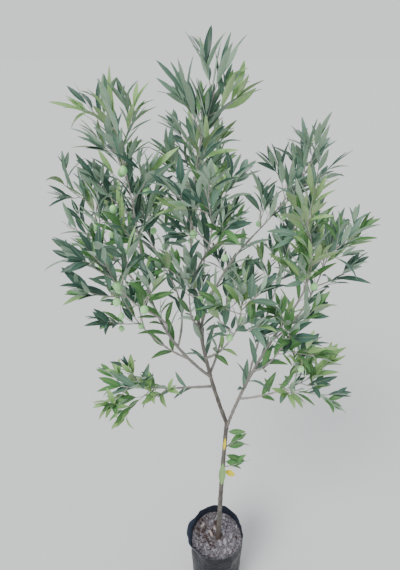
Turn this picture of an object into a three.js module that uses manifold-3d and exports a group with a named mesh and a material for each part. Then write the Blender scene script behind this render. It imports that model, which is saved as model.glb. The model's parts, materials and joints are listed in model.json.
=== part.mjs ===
// A young olive tree in a black film grow bag, at its real size.
// Millimetres, +Z up. The origin is the centre of the bag's flat underside.
// Seen from the front, +X is to the right and +Y is away from the viewer.
import * as THREE from 'three';
import { mergeVertices } from 'three/addons/utils/BufferGeometryUtils.js';
import Module from 'manifold-3d';

const wasm = await Module();
wasm.setup();

// Driving dimensions of the bag and its filling
const BAG_HEIGHT = 300;
const BAG_RIM_RADIUS = 85;
const BAG_FOOT_RADIUS = 80;
const BAG_FOOT_ROUND = 12;
const BAG_FILM = 2;
const BAG_SIDES = 36;
const SOIL_TOP = 270;
const CLEARANCE = 0.3;

// Driving dimensions of the trunk: it stands a little right of the bag's axis
const TRUNK_X = 5;
const TRUNK_LENGTH = 530;
const TRUNK_LEAVES = [0, 90];
const TRUNK_ENDS = [0, 88];
const TRUNK_FOOT_RADIUS = 7.2;
const TRUNK_TIP_RADIUS = 5;
const FLARE_RADIUS = 5;
const FLARE_HEIGHT = 14;
const TRUNK_SIDES = 10;
const TRUNK_STEPS = 10;
const FLARE_CROWDING = 1.7;

// Driving dimensions of the boughs
const BOUGH_SIDES = 6;
const BOUGH_STEP = 80;
const SIDE_BOUGH_SHARE = 0.78;
const SIDE_BOUGH_TIP_RADIUS = 1.9;

// Driving dimensions of the foliage
const STEM_SIDES = 4;
const STEM_STEPS = 4;
const STEM_TIP_RADIUS = 2;
const TWIG_SIDES = 3;
const TWIG_STEPS = 2;
const TWIG_RADIUS = 1.9;
const TWIG_TIP_RADIUS = 1.4;
const TWIGS_AT_LEAST = 4;
const TWIG_SPACING = 70;
const TWIGLESS_LENGTH = 100;
const TWIG_LENGTH = 100;
const TWIG_LEAN = 48;
const TWIG_LIFT = 0.55;
const TWIG_TURN = 137.5;
const LEAF_LENGTH = 78;
const LEAF_WIDTH = 16;
const LEAF_WIDEST = 0.4;
const LEAF_THICKNESS = 1.8;
const LEAF_SINK = 0.8;
const LEAF_LEAN = 42;
const LEAF_LIFT = 0.3;
const LEAF_SPACING = 42;
const STALK_LENGTH = 30;
const STALK_RADIUS = 1;
const OLIVE_WIDTH = 15;
const OLIVE_HEIGHT = 18;

// Room that each mass of foliage keeps from its neighbours and from the limbs
const MASS_MARGIN = 3;
const LIMB_MARGIN = 3;
const MASS_REACH = 105;
const LEAF_GAP = 11;
const LEAF_STATIONS = [0.3, 0.45, 0.6, 0.8, 1];
const TWIG_STATIONS = [0.35, 0.5, 0.65, 0.8, 1];

// The limbs. Each leaves its parent on one bearing and bends evenly to another. A bearing is the
// turn from +X towards +Y and the rise above level, in degrees; at is the place along the parent,
// and tip the radius of a leader's tip.
const BOUGHS = [
  { name: 'main_stem', from: 'trunk', at: 1, leave: [170, 71], end: [116, 86], length: 495, tip: 2.8 },
  { name: 'right_bough', from: 'trunk', at: 0.96, leave: [-40, 78], end: [-11, 66], length: 430, tip: 2.4 },
  { name: 'left_lateral', from: 'main_stem', at: 0.26, leave: [-162, 12], end: [-161, 16], length: 105 },
  { name: 'left_leader', from: 'main_stem', at: 0.32, leave: [-170, 46], end: [150, 86], length: 380, tip: 2.3 },
  { name: 'crossing_bough', from: 'main_stem', at: 0.6, leave: [54, 67], end: [14, 45], length: 255 },
  { name: 'back_bough', from: 'main_stem', at: 0.5, leave: [95, 50], end: [78, 67], length: 215 },
  { name: 'front_bough', from: 'main_stem', at: 0.44, leave: [-68, 40], end: [-61, 57], length: 155 },
  { name: 'front_top_bough', from: 'main_stem', at: 0.84, leave: [-87, 50], end: [-61, 53], length: 130 },
  { name: 'back_right_bough', from: 'right_bough', at: 0.45, leave: [64, 51], end: [58, 50], length: 205 },
  { name: 'right_low_bough', from: 'right_bough', at: 0.3, leave: [-31, 32], end: [-31, 42], length: 105 },
  { name: 'right_outer_bough', from: 'right_bough', at: 0.78, leave: [25, 22], end: [28, 62], length: 120 },
  { name: 'back_left_bough', from: 'left_leader', at: 0.35, leave: [69, 38], end: [143, 50], length: 185 },
  { name: 'front_left_bough', from: 'left_leader', at: 0.5, leave: [-70, 48], end: [-139, 43], length: 150 },
  { name: 'left_outer_bough', from: 'left_leader', at: 0.7, leave: [178, 60], end: [158, 47], length: 100 },
  { name: 'left_mid_bough', from: 'left_leader', at: 0.22, leave: [-165, 36], end: [-175, 50], length: 105 },
  { name: 'centre_low_bough', from: 'main_stem', at: 0.62, leave: [-115, 42], end: [-95, 66], length: 105 },
  { name: 'back_low_bough', from: 'main_stem', at: 0.34, leave: [58, 38], end: [75, 55], length: 125 },
  { name: 'right_inner_bough', from: 'right_bough', at: 0.55, leave: [-70, 40], end: [-60, 62], length: 100 },
];

// The masses of foliage. Each grows on from its bough's tip and bends to the bearing in end.
// A mass on the trunk starts at a place along it instead. leaf is the size of its leaves.
const MASSES = [
  { name: 'centre_top', from: 'main_stem', end: [-10, 70], length: 325, leaf: 1.15, olives: 4 },
  { name: 'left_top', from: 'left_leader', end: [169, 80], length: 270, leaf: 1.05, olives: 6 },
  { name: 'right_top', from: 'right_bough', end: [171, 62], length: 225, leaf: 1, olives: 2 },
  { name: 'crossing_top', from: 'crossing_bough', end: [25, 56], length: 200, leaf: 1.05, olives: 2 },
  { name: 'back_top', from: 'back_bough', end: [175, 76], length: 265, leaf: 1, olives: 1 },
  { name: 'front_top', from: 'front_top_bough', end: [-172, 73], length: 160, leaf: 0.95, olives: 2 },
  { name: 'back_right', from: 'back_right_bough', end: [51, 75], length: 195, leaf: 1, olives: 0 },
  { name: 'back_left', from: 'back_left_bough', end: [132, 73], length: 200, leaf: 1, olives: 1 },
  { name: 'front', from: 'front_bough', end: [-108, 71], length: 170, leaf: 0.9, olives: 2 },
  { name: 'front_left', from: 'front_left_bough', end: [-161, 80], length: 165, leaf: 0.9, olives: 4 },
  { name: 'left_outer', from: 'left_outer_bough', end: [93, 85], length: 175, leaf: 0.95, olives: 5 },
  { name: 'left_low', from: 'left_lateral', end: [-164, 21], length: 125, leaf: 0.85, olives: 0 },
  { name: 'right_low', from: 'right_low_bough', end: [-21, 50], length: 110, leaf: 0.9, olives: 0 },
  { name: 'right_outer', from: 'right_outer_bough', end: [48, 78], length: 145, leaf: 0.95, olives: 1 },
  { name: 'left_mid', from: 'left_mid_bough', end: [172, 72], length: 130, leaf: 0.85, olives: 3 },
  { name: 'centre_low', from: 'centre_low_bough', end: [-80, 78], length: 130, leaf: 0.85, olives: 1 },
  { name: 'back_low', from: 'back_low_bough', end: [80, 66], length: 130, leaf: 0.85, olives: 0 },
  { name: 'right_inner', from: 'right_inner_bough', end: [-50, 74], length: 130, leaf: 0.85, olives: 1 },
];
const TRUNK_SHOOTS = [
  { name: 'lower_trunk', at: 0.67, leave: [-20, 20], end: [-8, 45], length: 48, leaf: 0.72 },
  { name: 'upper_trunk', at: 0.82, leave: [10, 25], end: [-5, 50], length: 42, leaf: 0.68 },
].map((shoot) => ({ ...shoot, from: 'trunk', olives: 0 }));

const UP = new THREE.Vector3(0, 0, 1);

// The corners of a blade before it is sized: its root and tip on Y, its two edges and its ridge
const BLADE_CORNERS = [0, -1, 0, 0, 1, 0, 1, 0, 0, -1, 0, 0, 0, 0, 1];
const BLADE_FACES = [0, 2, 4, 0, 4, 3, 0, 3, 2, 1, 4, 2, 1, 3, 4, 1, 2, 3];

function radians(degrees) {
  return THREE.MathUtils.degToRad(degrees);
}

// A small seeded generator, so that every build grows the same tree
function seededRandom(seed) {
  let state = seed;
  return () => {
    state = (state + 0x6d2b79f5) | 0;
    let mixed = Math.imul(state ^ (state >>> 15), 1 | state);
    mixed = (mixed + Math.imul(mixed ^ (mixed >>> 7), 61 | mixed)) ^ mixed;
    return ((mixed ^ (mixed >>> 14)) >>> 0) / 4294967296;
  };
}

// The unit vector of a bearing
function direction([heading, rise]) {
  const level = Math.cos(radians(rise));
  const east = Math.cos(radians(heading)) * level;
  const north = Math.sin(radians(heading)) * level;
  return new THREE.Vector3(east, north, Math.sin(radians(rise)));
}

// The curve of a limb that leaves its root along one unit vector and bends evenly to another
function bendingCurve(root, leave, end, length) {
  const middle = root.clone().addScaledVector(leave, length / 2);
  const tip = middle.clone().addScaledVector(end, length / 2);
  return new THREE.QuadraticBezierCurve3(root, middle, tip);
}

// The point at a place along the straight steps that a shoot's curve is built in
function axisPoint({ curve, steps }, t) {
  const step = Math.min(Math.floor(t * steps), steps - 1);
  const from = curve.getPoint(step / steps);
  return from.lerp(curve.getPoint((step + 1) / steps), t * steps - step);
}

// A unit vector square to an axis, turned about it by some degrees from the level one
function sideOf(axis, turn) {
  const level = new THREE.Vector3().crossVectors(UP, axis).normalize();
  return level.applyAxisAngle(axis, radians(turn));
}

// A round limb along a curve. A cylinder is bent: its rings are set square to the curve, each with
// the radius that radiusAt gives for its place.
function limbGeometry(curve, radiusAt, sides, steps, crowding = 1) {
  const tube = new THREE.CylinderGeometry(1, 1, 1, sides, steps);
  const frames = curve.computeFrenetFrames(steps);
  const places = tube.getAttribute('position');
  const vertex = new THREE.Vector3();
  for (let i = 0; i < places.count; i += 1) {
    vertex.fromBufferAttribute(places, i);
    const step = Math.round((vertex.y + 0.5) * steps);
    const t = (step / steps) ** crowding;
    const radius = radiusAt(t);
    const across = vertex.x * radius;
    const along = vertex.z * radius;
    vertex.copy(curve.getPoint(t));
    vertex.addScaledVector(frames.binormals[step], across);
    vertex.addScaledVector(frames.normals[step], along);
    places.setXYZ(i, vertex.x, vertex.y, vertex.z);
  }
  return tube;
}

// Turn a closed geometry into a solid that can be cut and joined
function solidOf(geometry) {
  geometry.deleteAttribute('normal');
  geometry.deleteAttribute('uv');
  const merged = mergeVertices(geometry, 1e-5);
  const vertProperties = new Float32Array(merged.getAttribute('position').array);
  const triVerts = new Uint32Array(merged.getIndex().array);
  return new wasm.Manifold(new wasm.Mesh({ numProp: 3, vertProperties, triVerts }));
}

// Turn a solid back into a geometry
function geometryOf(solid) {
  const { vertProperties, triVerts } = solid.getMesh();
  const geometry = new THREE.BufferGeometry();
  geometry.setAttribute('position', new THREE.BufferAttribute(vertProperties, 3));
  geometry.setIndex(new THREE.BufferAttribute(triVerts, 1));
  geometry.computeVertexNormals();
  return geometry;
}

// The largest connected piece of a solid, without the scraps that a cut leaves
function mainPiece(solid) {
  const pieces = solid.decompose();
  return pieces.reduce((best, piece) => (piece.volume() > best.volume() ? piece : best));
}

const MATERIALS = {
  film: new THREE.MeshStandardMaterial({ color: 0x161b26, roughness: 0.42, metalness: 0 }),
  soil: new THREE.MeshStandardMaterial({ color: 0x6f6660, roughness: 0.95, metalness: 0 }),
  bark: new THREE.MeshStandardMaterial({ color: 0x84796a, roughness: 0.85, metalness: 0 }),
  twig: new THREE.MeshStandardMaterial({ color: 0xa1957f, roughness: 0.8, metalness: 0 }),
  foliage: new THREE.MeshStandardMaterial({ color: 0x5d7a5b, roughness: 0.6, metalness: 0 }),
};

function namedMesh(name, geometry, material) {
  const mesh = new THREE.Mesh(geometry, material);
  mesh.name = name;
  return mesh;
}

// The grow bag: an open film shell with a flat underside and a rounded foot
function growBag() {
  const inner = BAG_RIM_RADIUS - BAG_FILM;
  const outline = new THREE.Path();
  outline.moveTo(0, 0);
  outline.lineTo(BAG_FOOT_RADIUS - BAG_FOOT_ROUND, 0);
  outline.quadraticCurveTo(BAG_FOOT_RADIUS, 0, BAG_FOOT_RADIUS, BAG_FOOT_ROUND);
  outline.lineTo(BAG_RIM_RADIUS, BAG_HEIGHT);
  outline.lineTo(inner, BAG_HEIGHT);
  outline.lineTo(BAG_FOOT_RADIUS - BAG_FILM, BAG_FOOT_ROUND);
  outline.lineTo(BAG_FOOT_RADIUS - BAG_FOOT_ROUND, BAG_FILM);
  outline.lineTo(0, BAG_FILM);
  return standingLathe(outline);
}

// The filling: soil up to a level top under the rim
function pottingSoil() {
  const gap = BAG_FILM + CLEARANCE;
  const slope = (BAG_RIM_RADIUS - BAG_FOOT_RADIUS) / (BAG_HEIGHT - BAG_FOOT_ROUND);
  const top = BAG_FOOT_RADIUS + slope * (SOIL_TOP - BAG_FOOT_ROUND) - gap;
  const outline = new THREE.Path();
  outline.moveTo(0, gap);
  outline.lineTo(BAG_FOOT_RADIUS - BAG_FOOT_ROUND - CLEARANCE, gap);
  outline.lineTo(BAG_FOOT_RADIUS - gap, BAG_FOOT_ROUND + CLEARANCE);
  outline.lineTo(top, SOIL_TOP);
  outline.lineTo(0, SOIL_TOP);
  return standingLathe(outline);
}

// Spin an outline of radius and height about the upright axis
function standingLathe(outline) {
  const profile = outline.getPoints(3);
  const lathe = new THREE.LatheGeometry(profile, BAG_SIDES);
  return lathe.rotateX(Math.PI / 2);
}

// The trunk's radius: a steady taper and a root flare over the soil
function trunkRadius(t) {
  const taper = THREE.MathUtils.lerp(TRUNK_FOOT_RADIUS, TRUNK_TIP_RADIUS, t);
  return taper + FLARE_RADIUS * Math.exp((-t * TRUNK_LENGTH) / FLARE_HEIGHT);
}

// A limb with its curve, its radius along it and its solid
function makeLimb(name, curve, radiusAt, sides, steps, crowding) {
  const solid = solidOf(limbGeometry(curve, radiusAt, sides, steps, crowding));
  return { name, curve, radiusAt, solid, sides, steps, crowding, line: curve.getPoints(24) };
}

// The same limb, thicker all round by the clearance that touching pieces keep
function thickened(limb) {
  const radiusAt = (t) => limb.radiusAt(t) + CLEARANCE;
  return solidOf(limbGeometry(limb.curve, radiusAt, limb.sides, limb.steps, limb.crowding));
}

// The trunk and its boughs. A bough at its parent's tip follows on from it, and any other starts
// on its parent's axis. Each is cut clear of the limbs that were made before it.
function growLimbs() {
  const foot = new THREE.Vector3(TRUNK_X, 0, SOIL_TOP + CLEARANCE);
  const leave = direction(TRUNK_LEAVES);
  const trunkCurve = bendingCurve(foot, leave, direction(TRUNK_ENDS), TRUNK_LENGTH);
  const trunk = makeLimb('trunk', trunkCurve, trunkRadius, TRUNK_SIDES, TRUNK_STEPS, FLARE_CROWDING);
  const limbs = new Map([['trunk', trunk]]);
  for (const bough of BOUGHS) {
    const parent = limbs.get(bough.from);
    const root = parent.curve.getPoint(bough.at);
    if (bough.at === 1) {
      root.addScaledVector(parent.curve.getTangent(1), CLEARANCE);
    }
    const share = bough.at === 1 ? 1 : SIDE_BOUGH_SHARE;
    const tipRadius = bough.tip ?? SIDE_BOUGH_TIP_RADIUS;
    const rootRadius = Math.max(parent.radiusAt(bough.at) * share, tipRadius);
    const radiusAt = (t) => THREE.MathUtils.lerp(rootRadius, tipRadius, t);
    const curve = bendingCurve(root, direction(bough.leave), direction(bough.end), bough.length);
    const steps = Math.ceil(bough.length / BOUGH_STEP);
    const limb = makeLimb(bough.name, curve, radiusAt, BOUGH_SIDES, steps);
    for (const earlier of limbs.values()) {
      limb.solid = limb.solid.subtract(thickened(earlier));
    }
    limb.solid = mainPiece(limb.solid);
    limbs.set(bough.name, limb);
  }
  return limbs;
}

// The stem of a mass: it grows on from its bough's tip, or leaves the trunk at a place along it
function growStem(mass, limbs) {
  const parent = limbs.get(mass.from);
  const onTrunk = mass.at !== undefined;
  const root = parent.curve.getPoint(onTrunk ? mass.at : 1);
  const leave = onTrunk ? direction(mass.leave) : parent.curve.getTangent(1);
  if (!onTrunk) {
    root.addScaledVector(leave, CLEARANCE);
  }
  const curve = bendingCurve(root, leave, direction(mass.end), mass.length);
  const rootRadius = onTrunk ? TWIG_RADIUS : parent.radiusAt(1);
  const radiusAt = (t) => THREE.MathUtils.lerp(rootRadius, STEM_TIP_RADIUS, t);
  const stem = makeLimb(mass.name, curve, radiusAt, STEM_SIDES, STEM_STEPS);
  return { ...stem, length: mass.length };
}

const segment = new THREE.Line3();
const nearestPoint = new THREE.Vector3();

// The distance from a point to a limb's axis, and the limb's radius there
function distanceTo(point, limb) {
  const steps = limb.line.length - 1;
  let best = { distance: Infinity, radius: 0 };
  for (let i = 0; i < steps; i += 1) {
    segment.set(limb.line[i], limb.line[i + 1]);
    segment.closestPointToPoint(point, true, nearestPoint);
    const distance = nearestPoint.distanceTo(point);
    if (distance < best.distance) {
      best = { distance, radius: limb.radiusAt(i / steps) };
    }
  }
  return best;
}

// Whether points lie in a mass's own space: nearer to its stem than to any other mass's stem, and
// clear of the trunk and the boughs
function hasRoom(points, stem, stems, limbs) {
  return points.every((point) => {
    const own = distanceTo(point, stem).distance;
    const apart = stems.every((other) => {
      return other === stem || distanceTo(point, other).distance > own + MASS_MARGIN;
    });
    return own < MASS_REACH && apart && [...limbs.values()].every((limb) => {
      const { distance, radius } = distanceTo(point, limb);
      return distance > radius + LIMB_MARGIN;
    });
  });
}

// The twigs of a mass. They stand round the stem a fixed turn apart, shorter towards its tip, and
// bend up to the light; one that would leave the mass's space is skipped.
function growTwigs(mass, stem, room) {
  const random = seededRandom(mass.seed);
  const twigs = [];
  const bare = mass.length < TWIGLESS_LENGTH;
  const count = bare ? 0 : Math.round(TWIGS_AT_LEAST + mass.length / TWIG_SPACING);
  for (let i = 0; i < count; i += 1) {
    const t = (i + 0.7) / (count + 0.6);
    const turn = i * TWIG_TURN + 40 * random();
    const lean = radians(TWIG_LEAN + 20 * (random() - 0.5));
    const length = TWIG_LENGTH * (1 - 0.4 * t) * (0.8 + 0.4 * random());
    const axis = stem.curve.getTangent(t);
    const leave = axis.multiplyScalar(Math.cos(lean));
    leave.addScaledVector(sideOf(stem.curve.getTangent(t), turn), Math.sin(lean));
    const end = leave.clone().addScaledVector(UP, TWIG_LIFT).normalize();
    const curve = bendingCurve(axisPoint(stem, t), leave, end, length);
    const places = TWIG_STATIONS.map((place) => curve.getPoint(place));
    if (room(places)) {
      twigs.push({ curve, steps: TWIG_STEPS, length, places });
    }
  }
  return twigs;
}

// One leaf: a pointed three-sided blade with a flat underside and a ridge above, its root on a
// shoot's axis
function leafGeometry(root, along, face, length) {
  const blade = new THREE.PolyhedronGeometry(BLADE_CORNERS, BLADE_FACES, 1, 0);
  const places = blade.getAttribute('position');
  const across = new THREE.Vector3().crossVectors(along, face);
  const vertex = new THREE.Vector3();
  for (let i = 0; i < places.count; i += 1) {
    const end = Math.round(places.getY(i));
    const station = end === 0 ? LEAF_WIDEST : (end + 1) / 2;
    vertex.copy(root).addScaledVector(along, station * length);
    vertex.addScaledVector(across, (places.getX(i) * LEAF_WIDTH * length) / LEAF_LENGTH / 2);
    vertex.addScaledVector(face, places.getZ(i) * LEAF_THICKNESS);
    places.setXYZ(i, vertex.x, vertex.y, vertex.z);
  }
  return blade;
}

// A leaf at a place along a shoot, leaning off it and lifted to the light, with its face turned up
function placeLeaf(shoot, t, turn, lean, size) {
  const axis = shoot.curve.getTangent(t);
  const along = axis.clone().multiplyScalar(Math.cos(lean));
  along.addScaledVector(sideOf(axis, turn), Math.sin(lean));
  along.addScaledVector(UP, LEAF_LIFT * Math.sin(lean)).normalize();
  const face = UP.clone().add(axis);
  face.addScaledVector(along, -face.dot(along)).normalize();
  const length = LEAF_LENGTH * size;
  const root = axisPoint(shoot, t).addScaledVector(along, -LEAF_SINK);
  const places = LEAF_STATIONS.map((at) => root.clone().addScaledVector(along, at * length));
  const midline = new THREE.Line3(places[0], places[places.length - 1]);
  return { geometry: leafGeometry(root, along, face, length), places, midline };
}

// The leaves of a shoot: opposite pairs, each a quarter turn on from the last, and one leaf that
// carries on past the shoot's tip
function growLeaves(shoot, size, random) {
  const pairs = Math.max(1, Math.round(shoot.length / LEAF_SPACING));
  const leaves = [];
  for (let pair = 0; pair < pairs; pair += 1) {
    const t = (pair + 0.9) / (pairs + 0.4);
    for (const side of [0, 180]) {
      const turn = pair * 90 + side + 30 * (random() - 0.5);
      const lean = radians(LEAF_LEAN + 24 * (random() - 0.5));
      leaves.push(placeLeaf(shoot, t, turn, lean, size * (0.85 + 0.3 * random())));
    }
  }
  leaves.push(placeLeaf(shoot, 1, 0, radians(12) * random(), size));
  return leaves;
}

// Whether a leaf lies apart from the leaves that a mass has already, and from its twigs
function isApart(leaf, leaves, twigs) {
  const far = (places, line, gap) => places.every((place) => {
    return line.closestPointToPoint(place, true, nearestPoint).distanceTo(place) > gap;
  });
  const fromLeaves = leaves.every((other) => {
    return far(leaf.places, other.midline, LEAF_GAP) && far(other.places, leaf.midline, LEAF_GAP);
  });
  return fromLeaves && twigs.every((twig) => far(twig.places, leaf.midline, LEAF_GAP / 2));
}

// An olive hanging from a twig on its thin stalk
function growOlive(twig, random, room) {
  const t = 0.35 + 0.3 * random();
  const root = axisPoint(twig, t);
  const leave = sideOf(twig.curve.getTangent(t), 360 * random());
  const end = UP.clone().multiplyScalar(-1);
  const stalk = bendingCurve(root, leave, end, STALK_LENGTH);
  const centre = stalk.getPoint(1).addScaledVector(end, OLIVE_HEIGHT * 0.4);
  const fruit = new THREE.IcosahedronGeometry(OLIVE_WIDTH / 2, 0);
  fruit.scale(1, 1, OLIVE_HEIGHT / OLIVE_WIDTH);
  fruit.translate(centre.x, centre.y, centre.z);
  const outline = [centre, centre.clone().addScaledVector(end, OLIVE_HEIGHT / 2)];
  return room(outline) ? [limbGeometry(stalk, () => STALK_RADIUS, TWIG_SIDES, TWIG_STEPS), fruit] : [];
}

// One mass of foliage: its stem, twigs, leaves and olives fused into one solid
function growMass(mass, stem, stems, limbs) {
  const room = (points) => hasRoom(points, stem, stems, limbs);
  const random = seededRandom(mass.seed + 1);
  const twigs = growTwigs(mass, stem, room);
  const leaves = [];
  for (const shoot of [stem, ...twigs]) {
    for (const leaf of growLeaves(shoot, mass.leaf, random)) {
      if (room(leaf.places) && isApart(leaf, leaves, twigs)) {
        leaves.push(leaf);
      }
    }
  }
  const pieces = leaves.map((leaf) => leaf.geometry);
  const twigRadius = (t) => THREE.MathUtils.lerp(TWIG_RADIUS, TWIG_TIP_RADIUS, t);
  for (const twig of twigs) {
    pieces.push(limbGeometry(twig.curve, twigRadius, TWIG_SIDES, TWIG_STEPS));
  }
  for (const twig of twigs.slice(0, mass.olives)) {
    pieces.push(...growOlive(twig, random, room));
  }
  let solid = pieces.reduce((fused, piece) => fused.add(solidOf(piece)), stem.solid);
  if (mass.at !== undefined) {
    solid = solid.subtract(thickened(limbs.get(mass.from)));
  }
  return geometryOf(mainPiece(solid));
}

const group = new THREE.Group();
group.add(namedMesh('grow_bag', growBag(), MATERIALS.film));
group.add(namedMesh('potting_soil', pottingSoil(), MATERIALS.soil));
const limbs = growLimbs();
for (const limb of limbs.values()) {
  const material = limb.name === 'trunk' ? MATERIALS.bark : MATERIALS.twig;
  group.add(namedMesh(limb.name, geometryOf(limb.solid), material));
}
const masses = [...MASSES, ...TRUNK_SHOOTS].map((mass, i) => ({ ...mass, seed: 100 * (i + 1) }));
const stems = masses.map((mass) => growStem(mass, limbs));
masses.forEach((mass, i) => {
  const geometry = growMass(mass, stems[i], stems, limbs);
  group.add(namedMesh(`${mass.name}_foliage`, geometry, MATERIALS.foliage));
});

export default group;
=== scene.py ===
"""A young olive tree in a black film grow bag, on a pale studio floor.

The limbs and the masses of foliage grow by the rule of the part's solids, in the same places, and
are carried on here to fine twigs, leaves and olives. Sizes are in millimetres until a mesh is made.
"""

import json
import math
from functools import cache

import bpy
import numpy as np
from bpy.props import FloatProperty, FloatVectorProperty, IntProperty, PointerProperty
from mathutils import Euler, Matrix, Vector, noise

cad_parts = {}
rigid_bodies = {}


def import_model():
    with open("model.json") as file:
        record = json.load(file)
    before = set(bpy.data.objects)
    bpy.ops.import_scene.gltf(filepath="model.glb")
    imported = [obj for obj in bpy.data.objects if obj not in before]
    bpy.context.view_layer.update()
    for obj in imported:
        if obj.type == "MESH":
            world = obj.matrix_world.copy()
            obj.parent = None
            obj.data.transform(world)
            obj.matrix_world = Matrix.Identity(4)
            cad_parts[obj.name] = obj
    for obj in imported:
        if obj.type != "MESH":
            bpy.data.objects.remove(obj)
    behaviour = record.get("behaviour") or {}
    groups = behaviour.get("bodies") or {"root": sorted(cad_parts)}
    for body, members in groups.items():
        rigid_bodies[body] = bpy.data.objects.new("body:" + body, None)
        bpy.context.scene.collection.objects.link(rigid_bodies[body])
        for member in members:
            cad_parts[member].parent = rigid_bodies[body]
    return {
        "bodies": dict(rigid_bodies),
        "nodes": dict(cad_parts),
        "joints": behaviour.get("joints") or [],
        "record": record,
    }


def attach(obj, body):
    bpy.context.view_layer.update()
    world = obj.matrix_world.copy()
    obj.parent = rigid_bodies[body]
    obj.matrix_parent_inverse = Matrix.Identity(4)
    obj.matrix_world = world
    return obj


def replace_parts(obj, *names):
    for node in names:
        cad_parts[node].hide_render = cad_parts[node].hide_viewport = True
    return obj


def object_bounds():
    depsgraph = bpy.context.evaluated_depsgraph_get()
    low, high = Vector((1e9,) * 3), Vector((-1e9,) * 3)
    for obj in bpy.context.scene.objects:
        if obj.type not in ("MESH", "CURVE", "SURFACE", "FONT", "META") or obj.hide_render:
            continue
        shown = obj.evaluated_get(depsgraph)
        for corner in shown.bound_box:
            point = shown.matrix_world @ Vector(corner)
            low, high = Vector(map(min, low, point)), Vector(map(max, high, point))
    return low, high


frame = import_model()
CAD_BOX = [[float(x) for x in corner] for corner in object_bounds()]

bl_info = {
    "name": "Young Olive Tree in a Grow Bag",
    "version": (1, 0, 0),
    "blender": (4, 5, 0),
    "location": "3D View > Sidebar > Olive Tree",
    "description": "Grows a young olive tree in a black film grow bag, on a plain stage",
    "category": "Add Mesh",
}

MM = 0.001
UP = np.array([0.0, 0.0, 1.0])

# The bag, the soil and the trunk as the solids have them, in millimetres
BAG_HEIGHT = 300
BAG_RIM_RADIUS = 85
BAG_FOOT_RADIUS = 80
SOIL_TOP = 270
CLEARANCE = 0.3
TRUNK_X = 5
TRUNK_LENGTH = 530
TRUNK_FOOT_RADIUS = 7.2
TRUNK_TIP_RADIUS = 5
FLARE_RADIUS = 5
FLARE_HEIGHT = 14
SIDE_BOUGH_SHARE = 0.78
SIDE_BOUGH_TIP_RADIUS = 1.9

# The rule of the stems and twigs, as the solids have it
STEM_SHARE = 0.9
STEM_TIP_RADIUS = 0.8
TWIGS_AT_LEAST = 4
TWIG_SPACING = 70
TWIGLESS_LENGTH = 100
TWIG_LENGTH = 100
TWIG_RADIUS = 1.5
TWIG_TIP_RADIUS = 0.7
TWIG_LEAN = 48
TWIG_LIFT = 0.55
TWIG_TURN = 137.5
LEAF_SPACING = 42
STALK_LENGTH = 30
STALK_RADIUS = 0.6
STALK_TIP_RADIUS = 0.75
OLIVE_WIDTH = 15
OLIVE_HEIGHT = 18
MASS_MARGIN = 3
LIMB_MARGIN = 3
MASS_REACH = 105
TWIG_STATIONS = np.array([0.35, 0.5, 0.65, 0.8, 1])

# Name, parent, place along it, bearing at the root, bearing at the tip, length, tip radius.
# A bearing is the turn from +X towards +Y and the rise above level, in degrees.
BOUGHS = (
    ("main_stem", "trunk", 1, (170, 71), (116, 86), 495, 2.8),
    ("right_bough", "trunk", 0.96, (-40, 78), (-11, 66), 430, 2.4),
    ("left_lateral", "main_stem", 0.26, (-162, 12), (-161, 16), 105, None),
    ("left_leader", "main_stem", 0.32, (-170, 46), (150, 86), 380, 2.3),
    ("crossing_bough", "main_stem", 0.6, (54, 67), (14, 45), 255, None),
    ("back_bough", "main_stem", 0.5, (95, 50), (78, 67), 215, None),
    ("front_bough", "main_stem", 0.44, (-68, 40), (-61, 57), 155, None),
    ("front_top_bough", "main_stem", 0.84, (-87, 50), (-61, 53), 130, None),
    ("back_right_bough", "right_bough", 0.45, (64, 51), (58, 50), 205, None),
    ("right_low_bough", "right_bough", 0.3, (-31, 32), (-31, 42), 105, None),
    ("right_outer_bough", "right_bough", 0.78, (25, 22), (28, 62), 120, None),
    ("back_left_bough", "left_leader", 0.35, (69, 38), (143, 50), 185, None),
    ("front_left_bough", "left_leader", 0.5, (-70, 48), (-139, 43), 150, None),
    ("left_outer_bough", "left_leader", 0.7, (178, 60), (158, 47), 100, None),
    ("left_mid_bough", "left_leader", 0.22, (-165, 36), (-175, 50), 105, None),
    ("centre_low_bough", "main_stem", 0.62, (-115, 42), (-95, 66), 105, None),
    ("back_low_bough", "main_stem", 0.34, (58, 38), (75, 55), 125, None),
    ("right_inner_bough", "right_bough", 0.55, (-70, 40), (-60, 62), 100, None),
)

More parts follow.
